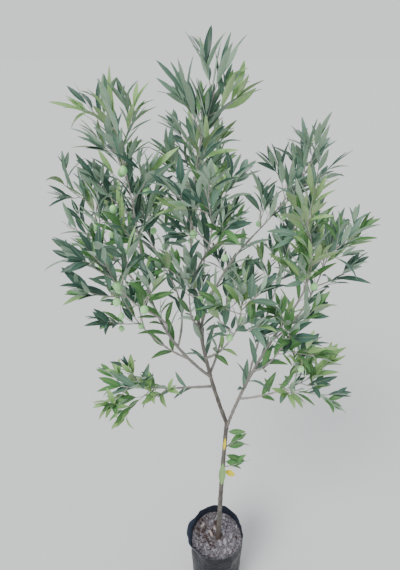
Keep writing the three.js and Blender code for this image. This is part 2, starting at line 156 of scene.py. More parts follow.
# Name, bough it grows on, bearing at the tip, length, leaf size, olives, leaf hues.
# The hues are the shares of dark, grey, green and young sprays.
MASS_KEYS = ("name", "from", "end", "length", "leaf", "olives", "hues")
MASSES = (
    ("centre_top", "main_stem", (-10, 70), 325, 1.15, 4, (2, 5, 2, 1)),
    ("left_top", "left_leader", (169, 80), 270, 1.05, 6, (3, 5, 2, 1)),
    ("right_top", "right_bough", (171, 62), 225, 1, 2, (3, 2, 5, 2)),
    ("crossing_top", "crossing_bough", (25, 56), 200, 1.05, 2, (6, 3, 1, 0)),
    ("back_top", "back_bough", (175, 76), 265, 1, 1, (4, 4, 2, 0)),
    ("front_top", "front_top_bough", (-172, 73), 160, 0.95, 2, (4, 3, 3, 1)),
    ("back_right", "back_right_bough", (51, 75), 195, 1, 0, (5, 4, 1, 0)),
    ("back_left", "back_left_bough", (132, 73), 200, 1, 1, (4, 4, 2, 0)),
    ("front", "front_bough", (-108, 71), 170, 0.9, 2, (4, 3, 3, 1)),
    ("front_left", "front_left_bough", (-161, 80), 165, 0.9, 4, (3, 3, 4, 1)),
    ("left_outer", "left_outer_bough", (93, 85), 175, 0.95, 5, (4, 4, 2, 1)),
    ("left_low", "left_lateral", (-164, 21), 125, 0.85, 0, (2, 1, 3, 4)),
    ("right_low", "right_low_bough", (-21, 50), 110, 0.9, 0, (2, 1, 5, 2)),
    ("right_outer", "right_outer_bough", (48, 78), 145, 0.95, 1, (6, 2, 2, 1)),
    ("left_mid", "left_mid_bough", (172, 72), 130, 0.85, 3, (3, 3, 4, 1)),
    ("centre_low", "centre_low_bough", (-80, 78), 130, 0.85, 1, (4, 2, 4, 1)),
    ("back_low", "back_low_bough", (80, 66), 130, 0.85, 0, (5, 3, 2, 0)),
    ("right_inner", "right_inner_bough", (-50, 74), 130, 0.85, 1, (2, 1, 5, 2)),
)

# Name, place along the trunk, bearing at the root, bearing at the tip, length, leaf size
TRUNK_SHOOTS = (
    ("lower_trunk", 0.67, (-20, 20), (-8, 45), 48, 0.72),
    ("upper_trunk", 0.82, (10, 25), (-5, 50), 42, 0.68),
)
TRUNK_SHOOT_RADIUS = 1.9
TRUNK_SHOOT_HUES = (0, 0, 6, 1)

# Leaves low on the trunk: height over the ground, bearing, length, width and hue
TRUNK_LEAVES = (
    (768, (-4, 4), 48, 15, "green"),
    (712, (6, 0), 54, 19, "green"),
    (676, (-6, -22), 64, 18, "green"),
    (644, (6, -12), 56, 20, "green"),
    (650, (-100, -76), 84, 20, "young"),
    (606, (-6, -26), 38, 16, "yellow"),
    (752, (-100, -60), 40, 7, "yellow"),
)

# What this scene adds to the rule: finer twigs, each a share of its parent's length
FINE_TWIG_SPACING = 44
STEM_TWIG_SPACING = 52
FINE_TWIG_SHARE = 0.48
FINE_TWIG_LEAN = 44
FINE_TWIG_AT_LEAST = 22
FINE_TWIG_RADIUS = 0.75
FINE_TWIG_TIP_RADIUS = 0.45


def seeded(seed):
    """The solids' own small seeded generator, so that both grow the same twigs."""
    state = seed
    while True:
        state = (state + 0x6D2B79F5) & 0xFFFFFFFF
        mixed = ((state ^ (state >> 15)) * (1 | state)) & 0xFFFFFFFF
        mixed ^= (mixed + (mixed ^ (mixed >> 7)) * (61 | mixed)) & 0xFFFFFFFF
        yield ((mixed ^ (mixed >> 14)) & 0xFFFFFFFF) / 4294967296


def unit(vectors):
    return vectors / np.linalg.norm(vectors, axis=-1, keepdims=True)


def bell(off, spread):
    """1 at its middle, and next to nothing some spreads away from it."""
    return np.exp(-((off / spread) ** 2))


def direction(bearing):
    """The unit vector of a bearing."""
    heading, rise = map(math.radians, bearing)
    level = math.cos(rise)
    return np.array([math.cos(heading) * level, math.sin(heading) * level, math.sin(rise)])


def side_of(axis, turn):
    """A unit vector square to an axis, turned about it by some degrees from the level one."""
    level = unit(np.cross(UP, axis))
    angle = math.radians(turn)
    return level * math.cos(angle) + np.cross(axis, level) * math.sin(angle)


class Shoot:
    """A limb, stem or twig: it leaves its root one way and bends evenly to another."""

    def __init__(self, root, leave, end, length, root_radius, tip_radius, name=""):
        self.name = name
        self.root = root
        self.middle = root + leave * length / 2
        self.tip = self.middle + end * length / 2
        self.length = length
        self.root_radius = root_radius
        self.tip_radius = tip_radius
        self.line = self.point(np.linspace(0, 1, 25))

    def point(self, t):
        t = np.asarray(t, float)[..., None]
        return (1 - t) ** 2 * self.root + 2 * t * (1 - t) * self.middle + t * t * self.tip

    def heading(self, t):
        t = np.asarray(t, float)[..., None]
        return unit((1 - t) * (self.middle - self.root) + t * (self.tip - self.middle))

    def radius(self, t):
        return self.root_radius + (self.tip_radius - self.root_radius) * np.asarray(t, float)


class Trunk(Shoot):
    """The trunk: a steady taper and a root flare over the soil."""

    def radius(self, t):
        flare = FLARE_RADIUS * np.exp(-np.asarray(t, float) * TRUNK_LENGTH / FLARE_HEIGHT)
        return super().radius(t) + flare


def grow_limbs():
    """The trunk and its boughs, by name."""
    foot = np.array([TRUNK_X, 0, SOIL_TOP + CLEARANCE])
    lean = direction((0, 88))
    trunk = Trunk(foot, UP, lean, TRUNK_LENGTH, TRUNK_FOOT_RADIUS, TRUNK_TIP_RADIUS, "trunk")
    limbs = {"trunk": trunk}
    for name, parent, at, leave, end, length, tip in BOUGHS:
        parent = limbs[parent]
        root = parent.point(at)
        if at == 1:
            root = root + parent.heading(1) * CLEARANCE
        tip = tip or SIDE_BOUGH_TIP_RADIUS
        share = 1 if at == 1 else SIDE_BOUGH_SHARE
        thick = max(float(parent.radius(at)) * share, tip)
        limbs[name] = Shoot(root, direction(leave), direction(end), length, thick, tip, name)
    return limbs


def nearest_on(points, line):
    """For each point the nearest step of a line, the share of that step, and the way out to it."""
    start, way = line[:-1], np.diff(line, axis=0)
    off = points[:, None] - start
    share = np.clip((off * way).sum(-1) / (way * way).sum(-1), 0, 1)
    out = off - share[..., None] * way
    rows, step = np.arange(len(points)), np.linalg.norm(out, axis=-1).argmin(1)
    return step, share[rows, step], out[rows, step]


def gap_to(points, line):
    """The distance from each point to a line of straight steps, and the place along it."""
    step, _, out = nearest_on(points, line)
    return np.linalg.norm(out, axis=-1), step / (len(line) - 1)


def has_room(points, stem, stems, limbs):
    """Whether points lie in a mass's own space and clear of the trunk and boughs."""
    own = gap_to(points, stem.line)[0]
    if (own >= MASS_REACH).any():
        return False
    for other in stems:
        if other is not stem and (gap_to(points, other.line)[0] <= own + MASS_MARGIN).any():
            return False
    for limb in limbs.values():
        far, t = gap_to(points, limb.line)
        if (far <= limb.radius(t) + LIMB_MARGIN).any():
            return False
    return True


def grow_stem(mass, limbs):
    """A mass's stem, on from its bough's tip or out of the trunk."""
    parent = limbs[mass["from"]]
    if "at" in mass:
        root, leave, thick = parent.point(mass["at"]), direction(mass["leave"]), TRUNK_SHOOT_RADIUS
    else:
        leave, thick = parent.heading(1), float(parent.radius(1))
        root = parent.point(1) + leave * CLEARANCE
    end, thick = direction(mass["end"]), thick * STEM_SHARE
    return Shoot(root, leave, end, mass["length"], thick, STEM_TIP_RADIUS, mass["name"])


def branch(parent, t, turn, lean, length, thick, thin):
    """A twig that leans off its parent by some degrees and bends up to the light."""
    axis, lean = parent.heading(t), math.radians(lean)
    leave = axis * math.cos(lean) + side_of(axis, turn) * math.sin(lean)
    end = unit(leave + UP * TWIG_LIFT)
    return Shoot(parent.point(t), leave, end, length, thick, thin)


def grow_twigs(mass, stem, room):
    """The twigs that the solids have, in the same places."""
    chance = seeded(mass["seed"])
    twigs = []
    count = round(TWIGS_AT_LEAST + stem.length / TWIG_SPACING)
    for i in range(count if stem.length >= TWIGLESS_LENGTH else 0):
        t = (i + 0.7) / (count + 0.6)
        turn = i * TWIG_TURN + 40 * next(chance)
        lean = TWIG_LEAN + 20 * (next(chance) - 0.5)
        length = TWIG_LENGTH * (1 - 0.4 * t) * (0.8 + 0.4 * next(chance))
        thick = min(TWIG_RADIUS, float(stem.radius(t)))
        twig = branch(stem, t, turn, lean, length, thick, TWIG_TIP_RADIUS)
        if room(twig.point(TWIG_STATIONS)):
            twigs.append(twig)
    return twigs


def grow_fine_twigs(parent, spacing, chance, room):
    """Finer twigs along a stem or twig, shorter towards its tip."""
    twigs = []
    count = round(parent.length / spacing)
    start = 360 * next(chance)
    for i in range(count):
        t = (i + 0.6 + 0.4 * next(chance)) / (count + 0.6)
        turn = start + i * TWIG_TURN + 40 * next(chance)
        lean = FINE_TWIG_LEAN + 24 * (next(chance) - 0.5)
        reach = min(parent.length, TWIG_LENGTH)
        length = reach * FINE_TWIG_SHARE * (1 - 0.45 * t) * (0.7 + 0.6 * next(chance))
        length = max(FINE_TWIG_AT_LEAST, length)
        twig = branch(parent, t, turn, lean, length, FINE_TWIG_RADIUS, FINE_TWIG_TIP_RADIUS)
        if room(twig.point(TWIG_STATIONS)):
            twigs.append(twig)
    return twigs


def olive_places(mass, stem, twigs):
    """The stalks of the olives that the solids have, in the same places."""
    chance = seeded(mass["seed"] + 1)
    for shoot in [stem, *twigs]:
        # The draws that the solids spend on a shoot's leaves before they come to the olives
        for _ in range(6 * max(1, round(shoot.length / LEAF_SPACING)) + 1):
            next(chance)
    stalks = []
    for twig in twigs[: mass["olives"]]:
        t = 0.35 + 0.3 * next(chance)
        leave = side_of(twig.heading(t), 360 * next(chance))
        stalks.append(
            Shoot(twig.point(t), leave, -UP, STALK_LENGTH, STALK_RADIUS, STALK_TIP_RADIUS)
        )
    return stalks


class Foliage:
    """Everything that grows beyond the boughs, gathered by kind."""

    def __init__(self):
        self.limbs = grow_limbs()
        self.twigs, self.fine_twigs, self.stalks, self.leafy = [], [], [], []
        masses = [dict(zip(MASS_KEYS, row)) for row in MASSES]
        for name, at, leave, end, length, leaf in TRUNK_SHOOTS:
            row = (name, "trunk", end, length, leaf, 0, TRUNK_SHOOT_HUES)
            masses.append(dict(zip(MASS_KEYS, row), at=at, leave=leave))
        self.stems = [grow_stem(mass, self.limbs) for mass in masses]
        for i, (mass, stem) in enumerate(zip(masses, self.stems)):
            mass["seed"] = 100 * (i + 1)
            self.grow_mass(mass, stem)

    def grow_mass(self, mass, stem):
        def room(points):
            return has_room(points, stem, self.stems, self.limbs)

        twigs = grow_twigs(mass, stem, room)
        chance = seeded(mass["seed"] + 7)
        fine = []
        if twigs:
            fine += grow_fine_twigs(stem, STEM_TWIG_SPACING, chance, room)
        for twig in twigs:
            fine += grow_fine_twigs(twig, FINE_TWIG_SPACING, chance, room)
        self.twigs += twigs
        self.fine_twigs += fine
        self.stalks += olive_places(mass, stem, twigs)
        if "at" not in mass:
            self.leafy.append((self.limbs[mass["from"]], "bough", mass))
        for kind, shoots in (("stem", [stem]), ("twig", twigs), ("fine", fine)):
            self.leafy += [(shoot, kind, mass) for shoot in shoots]


@cache
def plant():
    """The plant's limbs and foliage, grown once."""
    return Foliage()


def frames_along(points):
    """Unit vectors square to a line at each of its points, carried along it without twist."""
    headings = unit(np.gradient(points, axis=0))
    first = np.cross(headings[0], [0.3, 0.9, 0.1])
    sides = [unit(first)]
    for heading in headings[1:]:
        side = sides[-1] - heading * np.dot(sides[-1], heading)
        sides.append(unit(side))
    sides = np.array(sides)
    return sides, np.cross(headings, sides)


def tube(points, radii, sides):
    """The points and faces of a closed round tube along a line."""
    across, beside = frames_along(points)
    angles = np.linspace(0, 2 * math.pi, sides, endpoint=False)[:, None]
    radii = radii[:, None, None]
    rings = points[:, None] + across[:, None] * (np.cos(angles) * radii)
    rings = rings + beside[:, None] * (np.sin(angles) * radii)
    ring = np.arange(sides)
    band = np.stack([ring, (ring + 1) % sides, (ring + 1) % sides + sides, ring + sides], 1)
    faces = np.concatenate([band + i * sides for i in range(len(points) - 1)]).tolist()
    faces.append(ring[::-1].tolist())
    faces.append((ring + (len(points) - 1) * sides).tolist())
    return rings.reshape(-1, 3), faces


def joined(parts):
    """One list of points and one of faces from many."""
    points, faces, start = [], [], 0
    for part_points, part_faces in parts:
        points.append(part_points)
        faces += [[corner + start for corner in face] for face in part_faces]
        start += len(part_points)
    return np.concatenate(points), faces


def new_mesh(name, points, faces, materials, slots=None):
    """A mesh object of points in millimetres, with its materials and smooth faces."""
    mesh = bpy.data.meshes.new(name)
    mesh.from_pydata((np.asarray(points) * MM).tolist(), [], faces)
    for material in materials:
        mesh.materials.append(material)
    if slots is not None:
        mesh.polygons.foreach_set("material_index", np.asarray(slots, np.int32))
    mesh.polygons.foreach_set("use_smooth", np.ones(len(mesh.polygons), bool))
    mesh.update()
    piece = bpy.data.objects.new(name, mesh)
    bpy.context.scene.collection.objects.link(piece)
    return piece


def add_attribute(piece, name, kind, values):
    """A named value at each point of a piece, which its material reads."""
    attribute = piece.data.attributes.new(name, kind, "POINT")
    key = "vector" if kind == "FLOAT_VECTOR" else "value"
    attribute.data.foreach_set(key, np.asarray(values, np.float32).ravel())


def new_disc(name, corners, radius):
    """A flat round disc of some millimetres, from which a piece is drawn up."""
    bpy.ops.object.select_all(action="DESELECT")
    bpy.ops.mesh.primitive_circle_add(vertices=corners, radius=radius * MM, fill_type="NGON")
    disc = bpy.context.active_object
    disc.name = name
    return disc


def only(piece):
    """Make a piece the one that is selected and active."""
    bpy.ops.object.select_all(action="DESELECT")
    piece.select_set(True)
    bpy.context.view_layer.objects.active = piece


def settle(piece):
    """Put a finished piece on the body, with its place in its mesh."""
    only(piece)
    bpy.ops.object.transform_apply(location=True, rotation=True, scale=True)
    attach(piece, "root")
    return piece


def vectors_of(mesh, key):
    """The place or the normal of each point of a mesh."""
    values = np.empty(len(mesh.vertices) * 3)
    mesh.vertices.foreach_get(key, values)
    return values.reshape(-1, 3)


def waves(points, seed):
    """Smooth noise from -1 to 1 at each point, with features about 1 across."""
    offset = Vector((seed * 7.3, seed * 3.1, seed * 5.7))
    return np.array([noise.noise(Vector(p) + offset) for p in points])


class Finish:
    """A material under way: its nodes and the principled shader that they feed."""

    def __init__(self, name, roughness, **constants):
        self.material = bpy.data.materials.new(name)
        self.material.use_nodes = True
        self.tree = self.material.node_tree
        self.shader = self.tree.nodes["Principled BSDF"]
        self.shader.inputs["Roughness"].default_value = roughness
        for key, value in constants.items():
            self.shader.inputs[key.replace("_", " ")].default_value = value
        self.places = self.node("ShaderNodeTexCoord").outputs["Object"]

    def node(self, kind, inputs=None, **settings):
        """A new node with its settings, and its inputs set or linked by name or number."""
        made = self.tree.nodes.new(kind)
        for key, value in settings.items():
            setattr(made, key, value)
        for key, value in (inputs or {}).items():
            self.put(value, made.inputs[key])
        return made

    def put(self, value, socket):
        """Link an output to a socket, or set it to a number, a size along each axis or a colour."""
        if isinstance(value, bpy.types.NodeSocket):
            self.tree.links.new(value, socket)
        elif isinstance(value, (int, float)) or socket.type == "VECTOR":
            socket.default_value = value
        else:
            socket.default_value = (*value[:3], 1.0)

    def attribute(self, name, output="Fac"):
        return self.node("ShaderNodeAttribute", attribute_name=name).outputs[output]

    def axis(self, name, source=None):
        """One axis of the places."""
        split = self.node("ShaderNodeSeparateXYZ", {"Vector": source or self.places})
        return split.outputs[name]

    def stretched(self, scale, source=None):
        """The places, drawn out or pressed along each axis."""
        inputs = {"Vector": source or self.places, "Scale": scale}
        return self.node("ShaderNodeMapping", inputs).outputs["Vector"]

    def noise(self, scale, detail=3.0, source=None, rough=0.55):
        inputs = {"Scale": scale, "Detail": detail, "Roughness": rough}
        inputs["Vector"] = source or self.places
        return self.node("ShaderNodeTexNoise", inputs).outputs["Fac"]

    def band(self, value, low, high, to_low=0.0, to_high=1.0):
        """A value carried from one range to another, and held at its ends."""
        inputs = {"From Min": low, "From Max": high, "To Min": to_low, "To Max": to_high}
        return self.node("ShaderNodeMapRange", inputs | {"Value": value}).outputs["Result"]

    def mix(self, share, first, second):
        """One colour over another. Each is a colour or a socket."""
        inputs = {0: share, 6: first, 7: second}
        return self.node("ShaderNodeMix", inputs, data_type="RGBA").outputs[2]

    def math(self, operation, first, second=0.0):
        return self.node("ShaderNodeMath", {0: first, 1: second}, operation=operation).outputs[0]

    def colour(self, output):
        self.put(output, self.shader.inputs["Base Color"])

    def rough(self, output):
        self.put(output, self.shader.inputs["Roughness"])

    def bump(self, height, depth, strength=1.0):
        """Relief from a height, some millimetres deep."""
        inputs = {"Distance": depth * MM, "Strength": strength, "Height": height}
        made = self.node("ShaderNodeBump", inputs)
        self.put(made.outputs["Normal"], self.shader.inputs["Normal"])


def shade(colour, factor):
    return tuple(min(1.0, x * factor) for x in tuple(colour)[:3])


def size_property(name, about, default, low, high):
    return FloatProperty(
        name=name,
        description=about,
        default=default,
        min=low,
        max=high,
        subtype="DISTANCE",
        unit="LENGTH",
    )


def count_property(name, about, default, high):
    return IntProperty(name=name, description=about, default=default, min=0, max=high)


def colour_property(name, about, default):
    return FloatVectorProperty(
        name=name, description=about, default=default, min=0, max=1, size=3, subtype="COLOR"
    )


class OliveBag(bpy.types.PropertyGroup):
    """The grow bag."""

    film: size_property("Film", "Thickness of the film", 0.0007, 0.0003, 0.002)
    fold: size_property("Folds", "Depth of the soft upright folds", 0.0026, 0.0, 0.005)
    wrinkle: size_property("Wrinkles", "Depth of the fine level wrinkles", 0.0005, 0.0, 0.002)
    rim_wave: size_property("Rim wave", "How far the rim rises and falls", 0.006, 0.0, 0.01)
    colour: colour_property("Film colour", "Colour of the film", (0.0115, 0.0132, 0.0185))
    # The inside is the same film, painted paler than the outside: painted light that lifts the
    # shade in the bag
    inside: colour_property("Inside colour", "Colour of the film's inside", (0.022, 0.029, 0.043))
    dust: colour_property("Dust colour", "Colour of the dust on the film", (0.075, 0.07, 0.07))


class OliveSoil(bpy.types.PropertyGroup):
    """The potting soil and what lies on it."""

    relief: size_property("Relief", "Height of the soil's lumps", 0.005, 0.0, 0.01)
    stones: count_property("Stones", "How many stones lie on the soil", 560, 900)
    chips: count_property("Bark bits", "How many bits of bark lie on the soil", 80, 300)
    colour: colour_property("Soil colour", "Colour of the soil", (0.125, 0.108, 0.122))
    stone: colour_property("Stone colour", "Colour of the pale stones", (0.435, 0.415, 0.465))


class OliveBark(bpy.types.PropertyGroup):
    """The bark of the trunk, the boughs and the twigs."""

    relief: size_property("Relief", "Depth of the bark's relief", 0.0005, 0.0, 0.002)
    # The bark's own grey-brown, made darker as painted shade for the shadow that lies over the
    # trunk
    colour: colour_property("Bark colour", "Colour of the bark", (0.150, 0.135, 0.120))
    lichen: colour_property("Lichen colour", "Colour of the pale patches", (0.46, 0.45, 0.38))
    twig: colour_property("Twig colour", "Colour of the twigs", (0.46, 0.43, 0.405))
    fine: colour_property("Fine twig colour", "Colour of the finest twigs", (0.25, 0.30, 0.13))


class OliveLeaves(bpy.types.PropertyGroup):
    """The leaves."""

    length: size_property("Length", "Length of a full-grown leaf", 0.062, 0.02, 0.09)
    width: size_property("Width", "Width of a full-grown leaf", 0.0115, 0.004, 0.02)
    spacing: size_property("Spacing", "Distance between two pairs of leaves", 0.0165, 0.008, 0.05)
    dark: colour_property("Dark leaf", "Upper side of the dark sprays", (0.048, 0.112, 0.086))
    grey: colour_property("Grey leaf", "Upper side of the grey sprays", (0.122, 0.230, 0.168))
    green: colour_property("Green leaf", "Upper side of the green sprays", (0.090, 0.230, 0.076))
    young: colour_property("Young leaf", "Upper side of the young sprays", (0.27, 0.47, 0.175))
    yellow: colour_property("Yellow leaf", "A leaf that is about to fall", (0.95, 0.64, 0.015))
    under: colour_property("Underside", "Underside of the leaves", (0.325, 0.480, 0.350))
    pale: colour_property("Pale underside", "Underside of young leaves", (0.31, 0.46, 0.22))


class OliveFruit(bpy.types.PropertyGroup):
    """The olives."""

    colour: colour_property("Olive colour", "Colour of the unripe olives", (0.46, 0.95, 0.38))
    stalk: colour_property("Stalk colour", "Colour of the stalks", (0.50, 0.58, 0.31))


class OliveStage(bpy.types.PropertyGroup):
    """The floor, the light and the camera."""

    floor: colour_property("Floor colour", "Colour of the floor", (0.80, 0.80, 0.79))
    light: FloatProperty(
        name="Light", description="Strength of the soft light", default=1.0, min=0.1, max=5.0
    )


# The radius of the bag's rounded foot, the corners round its film and the rings up its wall
FOOT_ROUNDING = 16
FILM_CORNERS = 176
FILM_RINGS = 92
# Where the film leans out at the left: how far, at what bearing and how widely
LEAN_OUT = (15, 184, 34)
FLAP = (5, 205, 10)


def film_shift(angle, height, made):
    """How far the film stands out from its plain form at a place, in millimetres."""
    around = Vector((math.cos(angle), math.sin(angle), 0.0))
    rise = height / BAG_HEIGHT
    loose = max(0.0, (rise - 0.84) / 0.16) ** 1.5
    foot = max(0.0, 1 - rise / 0.22)
    belly = 1.3 * math.sin(math.pi * min(rise, 1.0))
    dents = 2.6 * noise.noise(around * 1.2 + Vector((4.0, 1.0, rise * 2.3)))
    dents += 1.5 * noise.noise(around * 2.8 + Vector((1.0, 5.0, rise * 6.5)))
    fold = 1 - abs(noise.noise(around * 2.6 + Vector((0.0, 3.0, rise * 0.7)))) * 3.2
    fold = made.fold / MM * (0.5 + 0.15 * loose + 0.6 * foot) * max(fold, -0.6)
    level = noise.noise(Vector((around.x * 3.4, around.y * 3.4, height * 0.085)))
    fine = noise.noise(Vector((around.x * 8, around.y * 8, height * 0.21 + 9)))
    wrinkle = made.wrinkle / MM * (2.2 * abs(level) + 1.1 * fine)
    hem = 4.2 * loose * noise.noise(around * 2.1 + Vector((7.0, 2.0, 0.0)))
    turn = math.degrees(angle) % 360
    far, bearing, spread = LEAN_OUT
    lean_out = far * bell(turn - bearing, spread) * max(0.0, (rise - 0.9) / 0.1) ** 0.8
    far, bearing, spread = FLAP
    flap = far * bell(turn - bearing, spread) * max(0.0, (rise - 0.6) / 0.4)
    return belly + dents + fold + wrinkle + hem + lean_out + flap


def film_radius(angle, height, made):
    """The bag's outer radius at a place, in millimetres."""
    slope = (BAG_RIM_RADIUS - BAG_FOOT_RADIUS) / BAG_HEIGHT
    return BAG_FOOT_RADIUS + slope * height - 2.5 + film_shift(angle, height, made)


def film_finish(name, colour, shine, made):
    """Creased, dusty film with painted sheen, splashed with soil at its foot, and a painted
    highlight at the rim's left.
    """
    film = Finish(name, 0.34, IOR=shine)
    upright = film.math("SUBTRACT", film.noise(26.0, 2.0, film.stretched((1.0, 1.0, 0.3))), 0.5)
    slanted = film.math("SUBTRACT", film.noise(38.0, 3.0, film.stretched((1.0, 1.0, 1.4))), 0.5)
    creases = film.math(
        "ADD",
        film.band(film.math("ABSOLUTE", upright), 0.0, 0.05, 1.0, 0.0),
        film.band(film.math("ABSOLUTE", slanted), 0.0, 0.035, 0.6, 0.0),
    )
    dusty = film.band(film.noise(22.0, 5.0), 0.5, 0.72)
    height, across = film.axis("Z"), film.axis("X")
    splash = film.band(height, 0.0, 0.07, 0.6, 0.0)
    share = film.math("MULTIPLY", dusty, film.math("ADD", splash, 0.1))
    # Soft patches painted paler and bluer: a painted sheen on the film
    painted_sheen = film.mix(film.band(film.noise(9.0, 3.0), 0.4, 0.65), colour, shade(colour, 1.6))
    # A painted highlight at the rim's left, where the film leans in and catches the sky
    at_left, at_rim = film.band(across, -0.045, -0.08), film.band(height, 0.26, 0.29)
    painted_highlight = film.math("MULTIPLY", at_left, at_rim)
    film.colour(film.mix(painted_highlight, film.mix(share, painted_sheen, made.dust), shade(colour, 3.2)))
    film.rough(film.band(film.noise(48.0, 4.0), 0.3, 0.7, 0.28, 0.48))
    film.bump(film.math("ADD", creases, film.noise(60.0, 3.0)), 0.5, 0.7)
    return film.material


def edge_finish(made):
    """The cut edge of the film, painted pale and mottled: a painted highlight along the rim."""
    edge = Finish("film_edge", 0.45)
    painted_highlight = edge.band(edge.noise(60.0, 3.0), 0.35, 0.7)
    edge.colour(edge.mix(painted_highlight, shade(made.colour, 3.5), (0.14, 0.15, 0.18)))
    return edge.material


class OLIVE_OT_grow_bag(bpy.types.Operator):
    """Draw the bag up from its round foot, then fold, wrinkle and crumple its film"""

    bl_idname = "olive.grow_bag"
    bl_label = "Grow Bag"

    def execute(self, context):
        made = context.scene.olive_bag
        bag = self.draw_up()
        self.crumple(bag, made)
        bag.data.materials.append(film_finish("black_film", made.colour, 1.2, made))
        # The inside's paler colour is painted light for the shaded inside of the bag
        bag.data.materials.append(film_finish("film_inside", made.inside, 1.24, made))
        bag.data.materials.append(edge_finish(made))
        wall = bag.modifiers.new("Film", "SOLIDIFY")
        wall.thickness = made.film
        wall.offset = -1
        wall.material_offset = 1
        wall.material_offset_rim = 2
        only(bag)
        bpy.ops.object.modifier_apply(modifier=wall.name)
        bpy.ops.object.shade_smooth_by_angle(angle=math.radians(50))
        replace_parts(settle(bag), "grow_bag")
        return {"FINISHED"}

    def draw_up(self):
        """A plain bag: a flat disc, with its edge drawn out round the foot and up the wall."""
        flat = BAG_FOOT_RADIUS - FOOT_ROUNDING
        bag = new_disc("grow_bag_film", FILM_CORNERS, flat)
        bpy.ops.object.mode_set(mode="EDIT")
        bpy.ops.mesh.select_all(action="SELECT")
        for _ in range(4):
            bpy.ops.mesh.inset(thickness=13 * MM)
        bpy.ops.mesh.select_mode(type="EDGE")
        bpy.ops.mesh.select_all(action="DESELECT")
        bpy.ops.mesh.select_non_manifold()
        steps = [
            (flat + FOOT_ROUNDING * math.sin(a), FOOT_ROUNDING * (1 - math.cos(a)))
            for a in np.linspace(0, math.pi / 2, 7)
        ]
        rises = np.linspace(FOOT_ROUNDING, BAG_HEIGHT - 3, FILM_RINGS)[1:]
        steps += [(BAG_FOOT_RADIUS, z) for z in rises]
        for (radius, z), (wider, higher) in zip(steps, steps[1:]):
            up, grown = {"value": (0, 0, (higher - z) * MM)}, wider / radius
            bpy.ops.mesh.extrude_region_move(TRANSFORM_OT_translate=up)
            bpy.ops.transform.resize(value=(grown, grown, 1), center_override=(0, 0, 0))
        bpy.ops.mesh.select_all(action="SELECT")
        bpy.ops.mesh.normals_make_consistent(inside=False)
        bpy.ops.object.mode_set(mode="OBJECT")
        return bag

    def crumple(self, bag, made):
        """Fold and wrinkle the wall, and let its rim rise and fall."""
        for corner in bag.data.vertices:
            x, y, z = (v / MM for v in corner.co)
            radius, angle = math.hypot(x, y), math.atan2(y, x)
            # The inner corners of the underside stay flat
            if z < 0.01 and radius < BAG_FOOT_RADIUS - FOOT_ROUNDING - 1:
                continue
            share = min(1.0, z / FOOT_ROUNDING)
            radius += (film_radius(angle, z, made) - BAG_FOOT_RADIUS) * share
            around = Vector((math.cos(angle), math.sin(angle), 0.0))
            top = max(0.0, z / BAG_HEIGHT - 0.8) / 0.2
            wave = noise.noise(around * 1.4) + 0.2 * noise.noise(around * 4 + Vector((2, 0, 0)))
            z += (made.rim_wave / MM * wave + 3 * math.sin(angle)) * top
            corner.co = Vector((math.cos(angle) * radius, math.sin(angle) * radius, z)) * MM


# How deep the soil is modelled, and its lumps: their share and how fine they are
SOIL_DEPTH = 16
SOIL_LUMPS = ((1, 0.045), (0.6, 0.12), (0.35, 0.33))
# What lies on the soil: its least and greatest size, its form and its tilt
STONES = ((1.2, 6.6), (1.1, 0.7, 0.42), 0.4)
BARK_BITS = ((2.2, 7.5), (1.7, 0.5, 0.25), 0.22)
# Every so many stones one is a larger pale chip
CHIP_EVERY = 38
CHIP_FORM = (1.2, 0.62, 0.3)
# Where most bits of bark lie, and how far all bits keep from the trunk
BARK_BITS_BEARING = 155
TRUNK_ROOM = 13


def film_room(angle, bag):
    """How far from the middle the soil may reach at a bearing, in millimetres."""
    heights = (SOIL_TOP - SOIL_DEPTH, SOIL_TOP - 8, SOIL_TOP, SOIL_TOP + 6)
    return min(film_radius(angle, height, bag) for height in heights) - bag.film / MM - 0.7


def soil_height(x, y, made):
    """The height of the soil's top at a place, in millimetres."""
    place = Vector((x, y, 0.0))
    lumps = sum(share * noise.noise(place * fineness) for share, fineness in SOIL_LUMPS)
    mound = 4.0 * bell(math.hypot(x - TRUNK_X, y), 22)
    sunk = 3.0 * (math.hypot(x, y) / BAG_RIM_RADIUS) ** 4
    return SOIL_TOP - 1 + mound - sunk + made.relief / MM * lumps * 0.55


def soil_finish(made):
    """Lumpy soil with grey and sandy grains, dark where it is damp."""
    soil = Finish("moist_soil", 0.95)
    lit = soil.band(soil.noise(70.0, 5.0), 0.35, 0.7)
    ground = soil.mix(lit, shade(made.colour, 0.45), made.colour)
    grey = soil.mix(soil.band(soil.noise(190.0, 4.0), 0.46, 0.62), ground, (0.25, 0.22, 0.245))
    sandy = soil.mix(soil.band(soil.noise(420.0, 2.0), 0.5, 0.66), grey, (0.40, 0.375, 0.42))
    damp = soil.math("MULTIPLY", soil.attribute("damp"), 0.85)
    soil.colour(soil.mix(damp, sandy, (0.055, 0.033, 0.030)))
    soil.bump(soil.noise(260.0, 6.0, rough=0.7), 2.2)
    return soil.material


def crumb(points, place, size, turn, seed):
    """The points of a bit of stone or bark: a rough ball, sized along each axis and turned."""
    rough = np.array([noise.noise(Vector(p) * 1.4 + Vector((seed, 0, 0))) for p in points])
    return points * (1 + 0.45 * rough)[:, None] * size @ turn.T + place


def random_turn(random, tilt):
    """The matrix of a turn about the upright axis, with some tilt."""
    a, b, c = random.uniform(0, 2 * math.pi), random.normal(0, tilt), random.normal(0, tilt)
    return np.array(Euler((b, c, a), "YXZ").to_matrix())


def rough_ball():
    """The points and faces of a small ball of 80 faces."""
    bpy.ops.object.select_all(action="DESELECT")
    bpy.ops.mesh.primitive_ico_sphere_add(subdivisions=2, radius=1)
    ball = bpy.context.active_object
    points = vectors_of(ball.data, "co")
    faces = [list(face.vertices) for face in ball.data.polygons]
    bpy.data.objects.remove(ball)
    return points, faces


